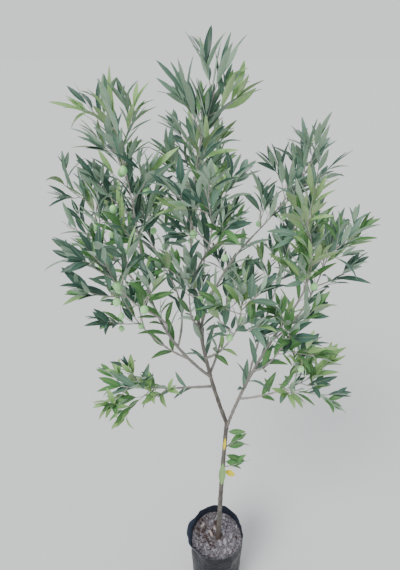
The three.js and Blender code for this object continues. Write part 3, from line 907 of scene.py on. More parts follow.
class OLIVE_OT_potting_soil(bpy.types.Operator):
    """Fill the bag with soil, and strew stones, chips and bits of bark over it"""

    bl_idname = "olive.potting_soil"
    bl_label = "Potting Soil"

    def execute(self, context):
        made, bag = context.scene.olive_soil, context.scene.olive_bag
        reach = BAG_RIM_RADIUS - 4
        soil = new_disc("soil_surface", 160, reach)
        bpy.ops.object.mode_set(mode="EDIT")
        bpy.ops.mesh.select_all(action="SELECT")
        up = {"value": (0, 0, 12 * MM)}
        bpy.ops.mesh.extrude_region_move(TRANSFORM_OT_translate=up)
        for _ in range(38):
            bpy.ops.mesh.inset(thickness=2 * MM)
        bpy.ops.object.mode_set(mode="OBJECT")
        for corner in soil.data.vertices:
            x, y, z = (v / MM for v in corner.co)
            wide = film_room(math.atan2(y, x), bag)
            x, y = x * wide / reach, y * wide / reach
            height = SOIL_TOP - SOIL_DEPTH if z < 1 else soil_height(x, y, made)
            corner.co = Vector((x, y, height)) * MM
        soil.data.materials.append(soil_finish(made))
        x, y, _ = vectors_of(soil.data, "co").T / MM
        damp = bell(np.hypot(x - TRUNK_X, y + 4), 22)
        back_left = bell(np.hypot(x + 42, y - 34), 34)
        add_attribute(soil, "damp", "FLOAT", np.maximum(damp, 0.8 * back_left))
        only(soil)
        bpy.ops.object.shade_smooth()
        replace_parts(settle(soil), "potting_soil")

        random = np.random.default_rng(11)
        ball = rough_ball()
        self.strew("soil_stones", made.stones, STONES, ball, random, made, bag)
        self.strew("bark_bits", made.chips, BARK_BITS, ball, random, made, bag)
        return {"FINISHED"}

    def strew(self, name, count, kind, ball, random, made, bag):
        """Lay many small bits on the soil, clear of the film and of the trunk."""
        (small, large), form, tilt = kind
        parts, hues = [], []
        for i in range(count):
            angle = random.uniform(0, 2 * math.pi)
            if name == "bark_bits" and random.uniform() < 0.75:
                angle = random.normal(math.radians(BARK_BITS_BEARING), 0.6)
            wide = film_room(angle, bag)
            radius = (wide - 4) * math.sqrt(random.uniform(0.01, 1))
            x, y = radius * math.cos(angle), radius * math.sin(angle)
            if math.hypot(x - TRUNK_X, y) < TRUNK_ROOM:
                continue
            size = small + (large - small) * random.uniform() ** 2.2
            shape = size * np.array(form) * random.uniform(0.75, 1.25, 3)
            chip = name == "soil_stones" and i % CHIP_EVERY == 0
            if chip:
                x, y = random.normal(2, 30), random.normal(16, 24)
                if math.hypot(x, y) > wide - 12 or math.hypot(x - TRUNK_X, y) < 20:
                    continue
                angle, radius = math.atan2(y, x), math.hypot(x, y)
                shape = random.uniform(6.5, 10.0) * np.array(CHIP_FORM)
            place = np.array([x, y, soil_height(x, y, made) + shape[2] * 0.35])
            bit = crumb(ball[0], place, shape, random_turn(random, tilt), i * 1.7)
            over = np.hypot(bit[:, 0], bit[:, 1]).max() - wide
            if over > 0:
                bit -= np.array([x, y, 0]) / radius * over
            parts.append((bit, ball[1]))
            if chip:
                tone = 1.0 if x < TRUNK_X else 0.9
            else:
                back_left = bell(math.degrees(angle) % 360 - 150, 50)
                tone = random.uniform() * (0.92 - 0.62 * back_left)
            hues += [tone] * len(bit)
        points, faces = joined(parts)
        finish = stone_finish(made) if name == "soil_stones" else bark_bit_finish()
        bits = new_mesh(name, points, faces, [finish])
        add_attribute(bits, "tone", "FLOAT", hues)
        only(bits)
        bpy.ops.object.shade_smooth_by_angle(angle=math.radians(28))
        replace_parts(settle(bits), "potting_soil")


def stone_finish(made):
    """Brown, grey and pinkish stones, by their tone, and the palest chips."""
    stone = Finish("soil_stones", 0.85)
    tone = stone.attribute("tone")
    pale = stone.mix(stone.band(tone, 0.35, 0.85), shade(made.stone, 0.42), made.stone)
    pink = stone.mix(stone.band(tone, 0.93, 0.99), pale, (0.66, 0.52, 0.45))
    brown = stone.mix(stone.band(tone, 0.1, 0.28), (0.075, 0.045, 0.042), pink)
    mottled = stone.band(stone.noise(330.0, 4.0), 0.4, 0.7)
    stone.colour(stone.mix(mottled, brown, shade(made.stone, 0.6)))
    stone.bump(stone.noise(500.0, 4.0), 0.6)
    return stone.material


def bark_bit_finish():
    """Dark brown bits of bark, some warmer than others."""
    bark = Finish("bark_bits", 0.9)
    tone = bark.attribute("tone")
    warm = bark.mix(tone, (0.045, 0.027, 0.027), (0.085, 0.058, 0.054))
    bark.colour(bark.mix(bark.band(bark.noise(400.0, 4.0), 0.4, 0.7), warm, (0.05, 0.03, 0.02)))
    bark.bump(bark.noise(600.0, 4.0), 0.5)
    return bark.material


# How far a rod starts inside its parent, what it gains for what the fusing wears off, and how
# fine the fused skin is
ROD_OVERLAP = 3
ROD_EXTRA = 0.1
VOXEL = 1.1
# How far on each limb's grain starts, so that no two limbs look alike
GRAIN_STEP = 61.0
# How far apart the bark's joints are, and the height and spread of one. Then how many scars the
# trunk has, and the height and spread of a scar's ring and of its hollow
JOINT_SPACING = 34
JOINT_SWELL = (1.3, 2.6)
SCAR_COUNT = 15
SCAR_RING = (2.6, 2.8)
SCAR_HOLLOW = (1.8, 1.2)


def limb_rod(limb):
    """One limb as a bent rod, from a curve with the limb's own line and radii."""
    bpy.ops.object.select_all(action="DESELECT")
    bpy.ops.curve.primitive_bezier_curve_add()
    rod = bpy.context.active_object
    rod.data.bevel_depth = MM
    rod.data.bevel_resolution = 4
    rod.data.use_fill_caps = True
    spline = rod.data.splines[0]
    spline.resolution_u = 40
    spline.radius_interpolation = "LINEAR"
    root = limb.root - unit(limb.middle - limb.root) * ROD_OVERLAP
    first, last = spline.bezier_points
    for point in (first, last):
        point.handle_left_type = point.handle_right_type = "FREE"
    first.co = Vector(root * MM)
    first.handle_left = first.co
    first.handle_right = Vector((root + (limb.middle - root) * 2 / 3) * MM)
    last.co = Vector(limb.tip * MM)
    last.handle_left = Vector((limb.tip + (limb.middle - limb.tip) * 2 / 3) * MM)
    last.handle_right = last.co
    first.radius, last.radius = limb.root_radius + ROD_EXTRA, limb.tip_radius + ROD_EXTRA
    bpy.ops.object.convert(target="MESH")
    return bpy.context.active_object


def grain_of(points, limbs):
    """For each point how far along its limb it is, its angle round it, and the limb's number."""
    best = np.full(len(points), np.inf)
    along, angle = np.zeros(len(points)), np.zeros(len(points))
    which = np.zeros(len(points), int)
    for number, limb in enumerate(limbs):
        steps = len(limb.line) - 1
        step, share, out = nearest_on(points, limb.line)
        far = np.linalg.norm(out, axis=-1) - limb.radius(step / steps)
        closer = far < best
        step, share, out = step[closer], share[closer], out[closer]
        across, beside = frames_along(limb.line)
        best[closer] = far[closer]
        which[closer] = number
        along[closer] = (step + share) / steps * limb.length
        angle[closer] = np.arctan2((out * beside[step]).sum(1), (out * across[step]).sum(1))
    return along, angle, which


def bark_finish(made):
    """Bark with streaks along its grain, pale patches and an earthy foot. Thin boughs are paler."""
    bark = Finish("olive_bark", 0.85)
    grain = bark.attribute("grain", "Vector")
    drawn = bark.stretched((1.0, 1.0, 0.22), grain)
    streaks = bark.noise(0.75, 5.0, drawn, 0.65)
    base = bark.mix(bark.band(streaks, 0.35, 0.68), shade(made.colour, 0.5), made.colour)
    warm = bark.mix(bark.band(bark.noise(28.0, 3.0), 0.45, 0.7), base, shade(made.colour, 1.45))
    few = bark.band(bark.noise(0.05, 2.0, grain), 0.45, 0.62)
    spots = bark.band(bark.noise(0.33, 4.0, grain, 0.6), 0.58, 0.66)
    patches = bark.math("MULTIPLY", bark.math("MULTIPLY", few, spots), 0.75)
    lichen = bark.mix(patches, warm, made.lichen)
    low = bark.band(bark.axis("Z", grain), 5.0, 110.0, 0.9, 0.0)
    low = bark.math("MULTIPLY", low, bark.band(bark.noise(45.0, 4.0), 0.3, 0.6, 0.5, 1.0))
    earthy = bark.mix(low, lichen, (0.075, 0.048, 0.034))
    bark.colour(bark.mix(bark.attribute("thin"), earthy, made.twig))
    pores = bark.noise(1.9, 3.0, grain)
    bark.bump(bark.math("ADD", streaks, bark.math("MULTIPLY", pores, 0.6)), 0.7)
    return bark.material


class OLIVE_OT_trunk_and_boughs(bpy.types.Operator):
    """Bend a rod for the trunk and each bough, fuse them, and raise the bark's relief"""

    bl_idname = "olive.trunk_and_boughs"
    bl_label = "Trunk and Boughs"

    def execute(self, context):
        made = context.scene.olive_bark
        limbs = list(plant().limbs.values())
        wood = self.fuse([limb_rod(limb) for limb in limbs])
        wood.name = "trunk_and_boughs"
        mesh = wood.data
        points, normals = vectors_of(mesh, "co") / MM, vectors_of(mesh, "normal")
        along, angle, which = grain_of(points, limbs)
        radii = np.array([limb.root_radius for limb in limbs])[which]
        upright = along + which * GRAIN_STEP
        grain = np.stack([np.cos(angle) * radii, np.sin(angle) * radii, upright], 1)
        height = self.relief(grain, along, angle, which, radii)
        low = (which == 0) * np.exp(-along / FLARE_HEIGHT)
        roots = 0.85 + 0.3 * np.cos(3 * angle + 0.8) + 0.15 * np.cos(5 * angle)
        flare = FLARE_RADIUS * low * roots
        points = points + normals * (height * made.relief / MM + flare)[:, None]
        mesh.vertices.foreach_set("co", (points * MM).ravel())
        mesh.update()
        add_attribute(wood, "grain", "FLOAT_VECTOR", grain)
        lengths = np.array([limb.length for limb in limbs])[which]
        tips = np.array([limb.tip_radius for limb in limbs])[which]
        here = radii + (tips - radii) * along / lengths
        add_attribute(wood, "thin", "FLOAT", np.clip((4.6 - here) / 2.6, 0, 1) * 0.85)
        mesh.materials.clear()
        mesh.materials.append(bark_finish(made))
        only(wood)
        bpy.ops.object.shade_smooth()
        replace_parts(settle(wood), *[limb.name for limb in limbs])
        return {"FINISHED"}

    def fuse(self, rods):
        """One skin over all rods, with soft forks."""
        only(rods[0])
        for rod in rods:
            rod.select_set(True)
        bpy.ops.object.join()
        wood = bpy.context.active_object
        fused = wood.modifiers.new("Fused", "REMESH")
        fused.mode = "VOXEL"
        fused.voxel_size = VOXEL * MM
        bpy.ops.object.modifier_apply(modifier=fused.name)
        soft = wood.modifiers.new("Soft forks", "SMOOTH")
        soft.factor, soft.iterations = 0.5, 5
        bpy.ops.object.modifier_apply(modifier=soft.name)
        return wood

    def relief(self, grain, along, angle, which, radii):
        """Streaks along the bark, the swellings of its joints and the scars of lost shoots."""
        streaks = 1 - np.abs(waves(grain * (0.42, 0.42, 0.055), 1)) * 2.4
        coarse = waves(grain * (0.16, 0.16, 0.03), 2)
        spacing = JOINT_SPACING + 9 * np.sin(which * 2.3)
        to_joint = (along / spacing) % 1.0
        to_joint = np.minimum(to_joint, 1 - to_joint) * spacing
        joints = JOINT_SWELL[0] * bell(to_joint, JOINT_SWELL[1])
        random = np.random.default_rng(5)
        scars = np.zeros(len(along))
        places = np.linspace(40, 500, SCAR_COUNT) + random.uniform(-14, 14, SCAR_COUNT)
        for place in places:
            turned = random.uniform(-math.pi, math.pi)
            off = np.abs((angle - turned + math.pi) % (2 * math.pi) - math.pi) * radii
            far = np.hypot(along - place, off)
            ring = SCAR_RING[0] * bell(far, SCAR_RING[1])
            scars += (which == 0) * (ring - SCAR_HOLLOW[0] * bell(far, SCAR_HOLLOW[1]))
        return streaks * 0.8 + coarse * 1.3 + joints + scars


def twig_finish(name, colour, tip):
    """The mottled skin of twigs and stalks, with patches in the colour of their tips."""
    twig = Finish(name, 0.7)
    mottled = twig.mix(twig.band(twig.noise(160.0, 4.0), 0.35, 0.7), shade(colour, 0.62), colour)
    twig.colour(twig.mix(twig.band(twig.noise(30.0, 2.0), 0.45, 0.65), mottled, tip))
    twig.bump(twig.noise(420.0, 3.0), 0.25)
    return twig.material


def twig_tubes(shoots, sides, step):
    """The joined tubes of many twigs, each with a slight swelling where its leaves sit."""
    parts = []
    for shoot in shoots:
        count = max(4, round(shoot.length / step) + 1)
        t = np.linspace(0, 1, count)
        swell = 1 + 0.12 * (np.arange(count) % 2)
        parts.append(tube(shoot.point(t), shoot.radius(t) * swell, sides))
    return joined(parts)


def foliage_nodes():
    """The names of the masses of foliage, as the solids have them."""
    return [f"{stem.name}_foliage" for stem in plant().stems]


class OLIVE_OT_twigs(bpy.types.Operator):
    """Grow the stems, the twigs and the fine twigs of each mass on from the boughs"""

    bl_idname = "olive.twigs"
    bl_label = "Twigs"

    def execute(self, context):
        made = context.scene.olive_bark
        stems, fine = plant().stems + plant().twigs, plant().fine_twigs
        bark = twig_finish("twig_bark", made.twig, shade(made.twig, 1.25))
        fine_bark = twig_finish("fine_twig_bark", made.fine, made.twig)
        kinds = (("twigs", stems, 8, 7, bark), ("fine_twigs", fine, 6, 8, fine_bark))
        for name, shoots, sides, step, finish in kinds:
            twigs = new_mesh(name, *twig_tubes(shoots, sides, step), [finish])
            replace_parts(settle(twigs), *foliage_nodes())
        return {"FINISHED"}


# A leaf's outline: places along it, and its width there as a share of its greatest
LEAF_PLACES = np.array([0.06, 0.18, 0.34, 0.52, 0.72, 0.9])
LEAF_OUTLINE = np.array([0.10, 0.55, 0.92, 1.0, 0.76, 0.36])
LEAF_THICKNESS = 0.7
# What a leaf's row holds after its root, its bearing and the way that it faces
LENGTH, WIDTH, DROOP, TWIST, FOLD, TONE = range(9, 15)
# For each kind of shoot: where its leaves begin, how far apart its pairs stand, how big its leaves
# are, how many are lost, how far they lean, and how much less at the tip
LEAFING = {
    "bough": (0.36, 1.6, 1.0, 0.35, 46, 14),
    "stem": (0.03, 1.6, 1.26, 0.06, 34, 23),
    "twig": (0.3, 1.45, 0.98, 0.1, 40, 22),
    "fine": (0.3, 1.3, 0.8, 0.12, 44, 22),
}
# How close a leaf may come to a limb and how far past the solids' box, and how near a leaf hides
# a stem. Where it does, only the more folded ones stay.
LEAF_GAP = 0.5
CROWN_MARGIN = 3
HIDING_DISTANCE = 48
HIDING_FOLD = 0.33
# Where along X the crown's leaves part into their two pieces
CROWN_SPLIT = -60

LEAF_HUES = ("dark", "grey", "green", "young", "yellow")
DARK, GREY, GREEN, YOUNG, YELLOW, UNDERSIDE, YOUNG_UNDERSIDE = range(7)
# The finish of each hue and underside: name, property of its colour, roughness, rib colour, sheen
LEAF_FINISHES = (
    ("leaf_dark", "dark", 0.42, (0.16, 0.24, 0.12), 0.0),
    ("leaf_grey", "grey", 0.5, (0.30, 0.36, 0.22), 0.0),
    ("leaf_green", "green", 0.42, (0.26, 0.36, 0.14), 0.0),
    ("leaf_young", "young", 0.42, (0.42, 0.56, 0.22), 0.0),
    ("leaf_yellow", "yellow", 0.5, (0.85, 0.70, 0.2), 0.0),
    ("leaf_underside", "under", 0.75, (0.46, 0.49, 0.34), 0.25),
    ("young_underside", "pale", 0.7, (0.40, 0.50, 0.25), 0.2),
)


class LeafBook:
    """The leaves of the plant: each one's root, bearings, size, bend and hue."""

    def __init__(self, made):
        self.made = made
        self.rows, self.hues = [], []

    def add(self, shoot, t, turn, lean, size, broad, hue, random):
        """One leaf on a shoot. It leans towards the light and turns its face up."""
        axis, lean = shoot.heading(t), math.radians(lean)
        along = axis * math.cos(lean) + side_of(axis, turn) * math.sin(lean)
        along = unit(along + UP * 0.5 * math.sin(lean))
        face = UP + axis * 0.8
        face = unit(face - along * np.dot(face, along))
        roll = math.radians(random.normal(0, 32))
        face = face * math.cos(roll) + np.cross(along, face) * math.sin(roll)
        length = self.made.length / MM * size
        width = self.made.width / MM * size ** 0.75 * broad * random.uniform(0.82, 1.15)
        droop = math.radians(random.normal(20, 17) + 18 * (1 - t))
        twist = math.radians(random.normal(0, 18))
        fold, tone = random.uniform(0.1, 0.42), random.uniform()
        place = [*shoot.point(t), *along, *face]
        self.rows.append([*place, length, width, droop, twist, fold, tone])
        self.hues.append(hue)

    def arrays(self):
        """The leaves that stay in the crown's reach, clear of the limbs, olives and stems."""
        rows, hues = np.array(self.rows), np.array(self.hues)
        root, along, face = rows[:, 0:3], rows[:, 3:6], rows[:, 6:9]
        length, droop = rows[:, [LENGTH]], rows[:, [DROOP]]
        tips = root + along * length * np.cos(droop / 2) - face * length * np.sin(droop / 2)
        low, high = (np.array(corner) / MM for corner in CAD_BOX)
        keep = ((tips > low - CROWN_MARGIN) & (tips < high + CROWN_MARGIN)).all(1)
        for limb in plant().limbs.values():
            for share in (0.35, 0.6, 0.85):
                far, t = gap_to(root + (tips - root) * share, limb.line)
                keep &= far > limb.radius(t) + LEAF_GAP
        for stalk in plant().stalks:
            olive = stalk.tip - UP * OLIVE_HEIGHT / 2
            for share in (0.3, 0.55, 0.8):
                far = np.linalg.norm(root + (tips - root) * share - olive, axis=1)
                keep &= far > OLIVE_HEIGHT * 0.9
        middle = root + (tips - root) / 2
        for stem in plant().stems:
            far, t = gap_to(middle, stem.line)
            ahead = (stem.point(t) - middle)[:, 1] / far
            keep &= (far > HIDING_DISTANCE) | (ahead < 0.7) | (rows[:, FOLD] > HIDING_FOLD)
        return rows[keep], hues[keep]


def leaf_points(rows):
    """The points of every leaf, which of them lie on its outline, and on which side of its rib."""
    root, along, face = rows[:, None, 0:3], rows[:, None, 3:6], rows[:, None, 6:9]
    length, width, droop, twist, fold = (rows[:, i, None, None] for i in range(LENGTH, TONE))
    droop = np.where(np.abs(droop) < 0.01, 0.01, droop)
    across = np.cross(along, face)

    def frame(s):
        s = s[None, :, None]
        bent, turned = droop * s, twist * s
        middle = root + length * (along * np.sin(bent) - face * (1 - np.cos(bent))) / droop
        normal = face * np.cos(bent) + along * np.sin(bent)
        side = across * np.cos(turned) + normal * np.sin(turned)
        return middle, side, normal * np.cos(turned) - across * np.sin(turned)

    ends = frame(np.array([0.0, 1.0]))[0]
    middle, side, up = frame(LEAF_PLACES)
    half = width / 2 * LEAF_OUTLINE[None, :, None]
    left = middle + side * half + up * half * fold
    right = middle - side * half + up * half * fold
    top = middle + up * LEAF_THICKNESS * 0.15
    under = middle - up * LEAF_THICKNESS * (0.25 + LEAF_OUTLINE[None, :, None]) * 0.7
    points = np.concatenate([ends, left, right, top, under], 1)
    count = len(LEAF_PLACES)
    outline = np.array([True] * (2 + 2 * count) + [False] * 2 * count)
    across = np.array([0, 0] + [1] * count + [-1] * count + [0] * 2 * count, float)
    return points, outline, across


def leaf_faces():
    """The faces of one leaf: those of its upper side, then those of its underside."""
    count = len(LEAF_PLACES)
    left, right, top, under = (2 + count * k + np.arange(count) for k in range(4))

    def side(middle):
        made = [[0, left[0], middle[0]], [0, middle[0], right[0]]]
        for i in range(count - 1):
            made += [[left[i], left[i + 1], middle[i + 1]], [left[i], middle[i + 1], middle[i]]]
            made += [[middle[i], middle[i + 1], right[i]], [middle[i + 1], right[i + 1], right[i]]]
        return made + [[left[-1], 1, middle[-1]], [middle[-1], 1, right[-1]]]

    upper = side(top)
    return upper, [face[::-1] for face in side(under)]


def leaf_finish(name, colour, rough, rib, sheen):
    """A leaf's side: it varies from leaf to leaf, is faintly mottled and has a paler rib."""
    leaf = Finish(name, rough, Specular_IOR_Level=0.34, Sheen_Weight=sheen, Sheen_Roughness=0.5)
    tone = leaf.band(leaf.attribute("tone"), 0.0, 1.0)
    varied = leaf.mix(tone, shade(colour, 0.7), shade(colour, 1.3))
    pale = leaf.math("MULTIPLY", leaf.band(leaf.noise(240.0, 3.0), 0.45, 0.75), 0.35)
    mottled = leaf.mix(pale, varied, shade(colour, 1.7))
    across = leaf.math("ABSOLUTE", leaf.attribute("across"))
    leaf.colour(leaf.mix(leaf.band(across, 0.05, 0.16, 0.7, 0.0), mottled, rib))
    leaf.bump(leaf.noise(330.0, 3.0), 0.2)
    return leaf.material


def pick(weights, chance):
    """A number dealt out by its weight."""
    target = chance * sum(weights)
    for number, weight in enumerate(weights):
        target -= weight
        if target < 0:
            return number
    return len(weights) - 1


class OLIVE_OT_leaves(bpy.types.Operator):
    """Set opposite pairs of leaves along every shoot, spray by spray, and join them"""

    bl_idname = "olive.leaves"
    bl_label = "Leaves"

    def execute(self, context):
        made = context.scene.olive_leaves
        book = LeafBook(made)
        random = np.random.default_rng(2024)
        for shoot, kind, mass in plant().leafy:
            self.dress(book, shoot, kind, mass, random)
        self.dress_trunk(book, random)
        rows, hues = book.arrays()
        materials = [
            leaf_finish(name, getattr(made, colour), rough, rib, sheen)
            for name, colour, rough, rib, sheen in LEAF_FINISHES
        ]
        left = rows[:, 0] < CROWN_SPLIT
        for name, chosen in (("leaves_left", left), ("leaves_right", ~left)):
            self.join(name, rows[chosen], hues[chosen], materials)
        return {"FINISHED"}

    def dress(self, book, shoot, kind, mass, random):
        """Pairs of leaves along a shoot, each a quarter turn on, and one pair at its tip."""
        start, apart, big, lost, leaning, upright = LEAFING[kind]
        spacing = book.made.spacing / MM * apart
        pairs = 1 if "at" in mass else max(2, round(shoot.length * (1 - start) / spacing))
        hue = pick(mass["hues"], random.uniform())
        broad = 1 + 2.4 * min(0.15, max(0.0, 1 - mass["leaf"]))
        turned = random.uniform(0, 360)
        low = GREEN if mass["hues"][GREEN] > mass["hues"][DARK] else DARK
        for pair in range(pairs):
            t = start + (1 - start) * (pair + 0.4) / pairs
            grown = 0.72 + 0.38 * math.sin(math.pi * (0.2 + 0.62 * t))
            own = (GREY if t > 0.55 else low) if kind == "stem" else hue
            for side in (0, 180):
                if random.uniform() < lost + (0.3 * (1 - t) if kind == "stem" else 0):
                    continue
                turn = turned + pair * 90 + side + random.normal(0, 14)
                lean = leaning - upright * t + random.normal(0, 8)
                size = mass["leaf"] * big * grown * random.uniform(0.82, 1.16)
                fresh = t > 0.72 and hue in (GREY, GREEN) and random.uniform() < 0.3
                book.add(shoot, t, turn, lean, size, broad, YOUNG if fresh else own, random)
        for side in (0, 180) if kind != "bough" else ():
            turn = turned + pairs * 90 + side
            size = mass["leaf"] * big * random.uniform(0.62, 0.85)
            book.add(shoot, 1, turn, random.uniform(8, 22), size, broad, hue, random)

    def dress_trunk(self, book, random):
        """The few leaves that stand on the trunk itself."""
        trunk = plant().limbs["trunk"]
        for height, bearing, length, width, hue in TRUNK_LEAVES:
            t = (height - trunk.root[2]) / TRUNK_LENGTH
            along = direction(bearing)
            level = unit(along * (1, 1, 0))
            root = trunk.point(t) + level * (float(trunk.radius(t)) - 0.6)
            face = UP * 0.75 + level * 0.35 - np.array([0.0, 0.75, 0.0])
            face = unit(face - along * np.dot(face, along))
            bend, tone = math.radians(random.uniform(8, 30)), random.uniform()
            book.rows.append([*root, *along, *face, length, width, bend, 0.1, 0.25, tone])
            book.hues.append(LEAF_HUES.index(hue))

    def join(self, name, rows, hues, materials):
        """One mesh of many leaves, with a sharp rim round each and its underside in its own hue."""
        points, outline, across = leaf_points(rows)
        upper, under = leaf_faces()
        per_leaf = points.shape[1]
        faces, slots = [], []
        for i, hue in enumerate(hues):
            start = i * per_leaf
            faces += [[int(c) + start for c in face] for face in upper + under]
            below = YOUNG_UNDERSIDE if hue in (YOUNG, YELLOW) else UNDERSIDE
            slots += [int(hue)] * len(upper) + [below] * len(under)
        leaves = new_mesh(name, points.reshape(-1, 3), faces, materials, slots)
        count = len(rows)
        add_attribute(leaves, "tone", "FLOAT", np.repeat(rows[:, TONE], per_leaf))
        add_attribute(leaves, "across", "FLOAT", np.tile(across, count))
        edges = np.empty(len(leaves.data.edges) * 2, np.int32)
        leaves.data.edges.foreach_get("vertices", edges)
        rim = np.tile(outline, count)[edges].reshape(-1, 2).all(1)
        sharp = leaves.data.attributes.new("sharp_edge", "BOOLEAN", "EDGE")
        sharp.data.foreach_set("value", rim)
        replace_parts(settle(leaves), *foliage_nodes())


def olive_finish(made):
    """Smooth, faintly waxy fruit with small pale dots."""
    olive = Finish("unripe_olive", 0.36, Specular_IOR_Level=0.5, Coat_Weight=0.15)
    tone = olive.attribute("tone")
    varied = olive.mix(tone, shade(made.colour, 0.92), shade(made.colour, 1.2))
    dots = olive.band(olive.noise(900.0, 1.0), 0.62, 0.7)
    olive.colour(olive.mix(olive.math("MULTIPLY", dots, 0.5), varied, shade(made.colour, 1.7)))
    return olive.material


def olive_form(rows, sides):
    """The points and faces of an olive that hangs under the origin, with its small pointed end."""
    angles = np.linspace(0, 2 * math.pi, sides, endpoint=False)
    polar = np.linspace(0.2, math.pi - 0.12, rows)
    radii = np.sin(polar) * OLIVE_WIDTH / 2
    heights = np.cos(polar) * OLIVE_HEIGHT / 2
    rings = [
        np.stack([np.cos(angles) * r, np.sin(angles) * r, np.full(sides, h)], 1)
        for r, h in zip(radii, heights)
    ]
    top = np.array([[0, 0, OLIVE_HEIGHT / 2 - 0.6]])
    nib = np.array([[0, 0, -OLIVE_HEIGHT / 2 - 0.5]])
    points = np.concatenate([top, *rings, nib])
    faces = [[0, 1 + i, 1 + (i + 1) % sides] for i in range(sides)]
    for row in range(rows - 1):
        a, b = 1 + row * sides, 1 + (row + 1) * sides
        faces += [[a + i, b + i, b + (i + 1) % sides, a + (i + 1) % sides] for i in range(sides)]
    last, base = len(points) - 1, 1 + (rows - 1) * sides
    faces += [[last, base + (i + 1) % sides, base + i] for i in range(sides)]
    return points, faces


class OLIVE_OT_olives(bpy.types.Operator):
    """Hang the unripe olives on their stalks"""

    bl_idname = "olive.olives"
    bl_label = "Olives"

    def execute(self, context):
        made = context.scene.olive_fruit
        stalks = plant().stalks
        random = np.random.default_rng(8)
        points, faces = twig_tubes(stalks, 6, 4)
        wood = twig_finish("olive_stalk", made.stalk, shade(made.stalk, 0.7))
        stalk = new_mesh("olive_stalks", points, faces, [wood])
        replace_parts(settle(stalk), *foliage_nodes())
        form, form_faces = olive_form(11, 16)
        parts, tones = [], []
        for shoot in stalks:
            size = random.uniform(0.8, 0.98)
            tilt = random_turn(random, 0.16)
            centre = shoot.tip - UP * OLIVE_HEIGHT * 0.46
            parts.append((form * size @ tilt.T + centre, form_faces))
            tones += [random.uniform()] * len(form)
        points, faces = joined(parts)
        fruit = new_mesh("olives", points, faces, [olive_finish(made)])
        add_attribute(fruit, "tone", "FLOAT", tones)
        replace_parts(settle(fruit), *foliage_nodes())
        return {"FINISHED"}


# The camera's place in metres, how far it is raised from straight down in degrees, and its lens:
# a focal length of 400 of the photo's pixels, which is 570 of them high
CAMERA_PLACE = (-0.055, -0.72, 1.63)
CAMERA_RISE = 60
SENSOR = 36
LENS = SENSOR * 400 / 570
FLOOR_RADIUS = 150000
# The sky as the tree sees it, with its strength, and as the camera sees it
SKY = (0.86, 0.90, 0.95)
SKY_STRENGTH = 0.72
BACKGROUND = (0.975, 0.988, 0.992)
# The soft lamps: name, place, spread, strength and colour, and the height that they aim at
LAMPS = (
    ("key", (-1.5, -1.8, 3.6), 26, 2.3, (1.0, 0.98, 0.95)),
    ("back", (1.2, 2.4, 2.6), 50, 0.5, (0.96, 0.98, 1.0)),
)
LAMPS_AIM = 0.9


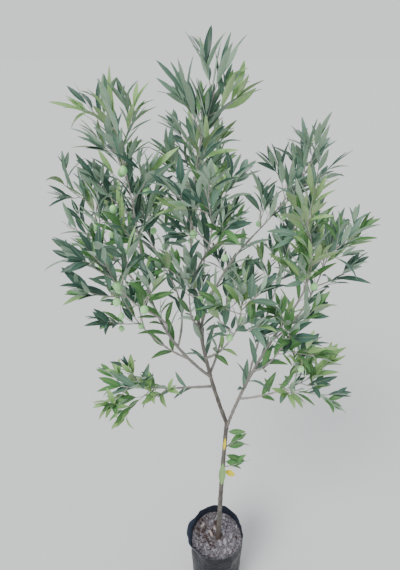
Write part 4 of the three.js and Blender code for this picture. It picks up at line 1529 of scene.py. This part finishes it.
class OLIVE_OT_stage(bpy.types.Operator):
    """Lay a plain pale floor, light it softly and set the camera at the photo's angle"""

    bl_idname = "olive.stage"
    bl_label = "Stage"

    def execute(self, context):
        made = context.scene.olive_stage
        floor = new_disc("studio_floor", 96, FLOOR_RADIUS)
        paint = Finish("studio_floor", 0.9)
        paint.colour(made.floor)
        floor.data.materials.append(paint.material)

        context.scene.world = self.sky(made.light)
        for name, place, spread, power, colour in LAMPS:
            self.sun(name, place, spread, power * made.light, colour)

        bpy.ops.object.camera_add(location=CAMERA_PLACE, rotation=(math.radians(CAMERA_RISE), 0, 0))
        camera = context.active_object
        camera.data.sensor_width = SENSOR
        camera.data.lens = LENS
        camera.data.clip_start, camera.data.clip_end = 0.02, 200
        context.scene.camera = camera
        return {"FINISHED"}

    def sky(self, light):
        """A soft even sky, which the camera sees as a nearly white background."""
        world = bpy.data.worlds.new("Soft sky")
        world.use_nodes = True
        nodes, links = world.node_tree.nodes, world.node_tree.links
        soft, seen = nodes["Background"], nodes.new("ShaderNodeBackground")
        for node, colour, strength in ((soft, SKY, SKY_STRENGTH), (seen, BACKGROUND, 1)):
            node.inputs["Color"].default_value = (*colour, 1)
            node.inputs["Strength"].default_value = strength * light
        either = nodes.new("ShaderNodeMixShader")
        links.new(nodes.new("ShaderNodeLightPath").outputs["Is Camera Ray"], either.inputs[0])
        links.new(soft.outputs[0], either.inputs[1])
        links.new(seen.outputs[0], either.inputs[2])
        links.new(either.outputs[0], nodes["World Output"].inputs["Surface"])
        return world

    def sun(self, name, place, spread, power, colour):
        """A far lamp that lights the whole floor alike, with soft shadows."""
        bpy.ops.object.light_add(type="SUN", location=place)
        lamp = bpy.context.active_object
        lamp.name = f"soft_{name}"
        lamp.data.angle, lamp.data.energy, lamp.data.color = math.radians(spread), power, colour
        aim = Vector((0, 0, LAMPS_AIM)) - Vector(place)
        lamp.rotation_euler = aim.to_track_quat("-Z", "Y").to_euler()


PROPERTIES = (
    ("olive_bag", OliveBag),
    ("olive_soil", OliveSoil),
    ("olive_bark", OliveBark),
    ("olive_leaves", OliveLeaves),
    ("olive_fruit", OliveFruit),
    ("olive_stage", OliveStage),
)
STEPS = (
    OLIVE_OT_stage,
    OLIVE_OT_grow_bag,
    OLIVE_OT_potting_soil,
    OLIVE_OT_trunk_and_boughs,
    OLIVE_OT_twigs,
    OLIVE_OT_leaves,
    OLIVE_OT_olives,
)


class OLIVE_PT_tree(bpy.types.Panel):
    """Lists the steps that make the tree, and their sizes and colours"""

    bl_idname = "OLIVE_PT_tree"
    bl_label = "Olive Tree"
    bl_space_type = "VIEW_3D"
    bl_region_type = "UI"
    bl_category = "Olive Tree"

    def draw(self, context):
        for step in STEPS:
            self.layout.operator(step.bl_idname)
        for name, group in PROPERTIES:
            box = self.layout.box()
            for key in group.__annotations__:
                box.prop(getattr(context.scene, name), key)


def register():
    for name, group in PROPERTIES:
        bpy.utils.register_class(group)
        setattr(bpy.types.Scene, name, PointerProperty(type=group))
    for step in (*STEPS, OLIVE_PT_tree):
        bpy.utils.register_class(step)


def unregister():
    for step in reversed((*STEPS, OLIVE_PT_tree)):
        bpy.utils.unregister_class(step)
    for name, group in reversed(PROPERTIES):
        delattr(bpy.types.Scene, name)
        bpy.utils.unregister_class(group)


def main():
    register()
    bpy.ops.olive.stage()
    bpy.ops.olive.grow_bag()
    bpy.ops.olive.potting_soil()
    bpy.ops.olive.trunk_and_boughs()
    bpy.ops.olive.twigs()
    bpy.ops.olive.leaves()
    bpy.ops.olive.olives()


if __name__ == "__main__":
    main()
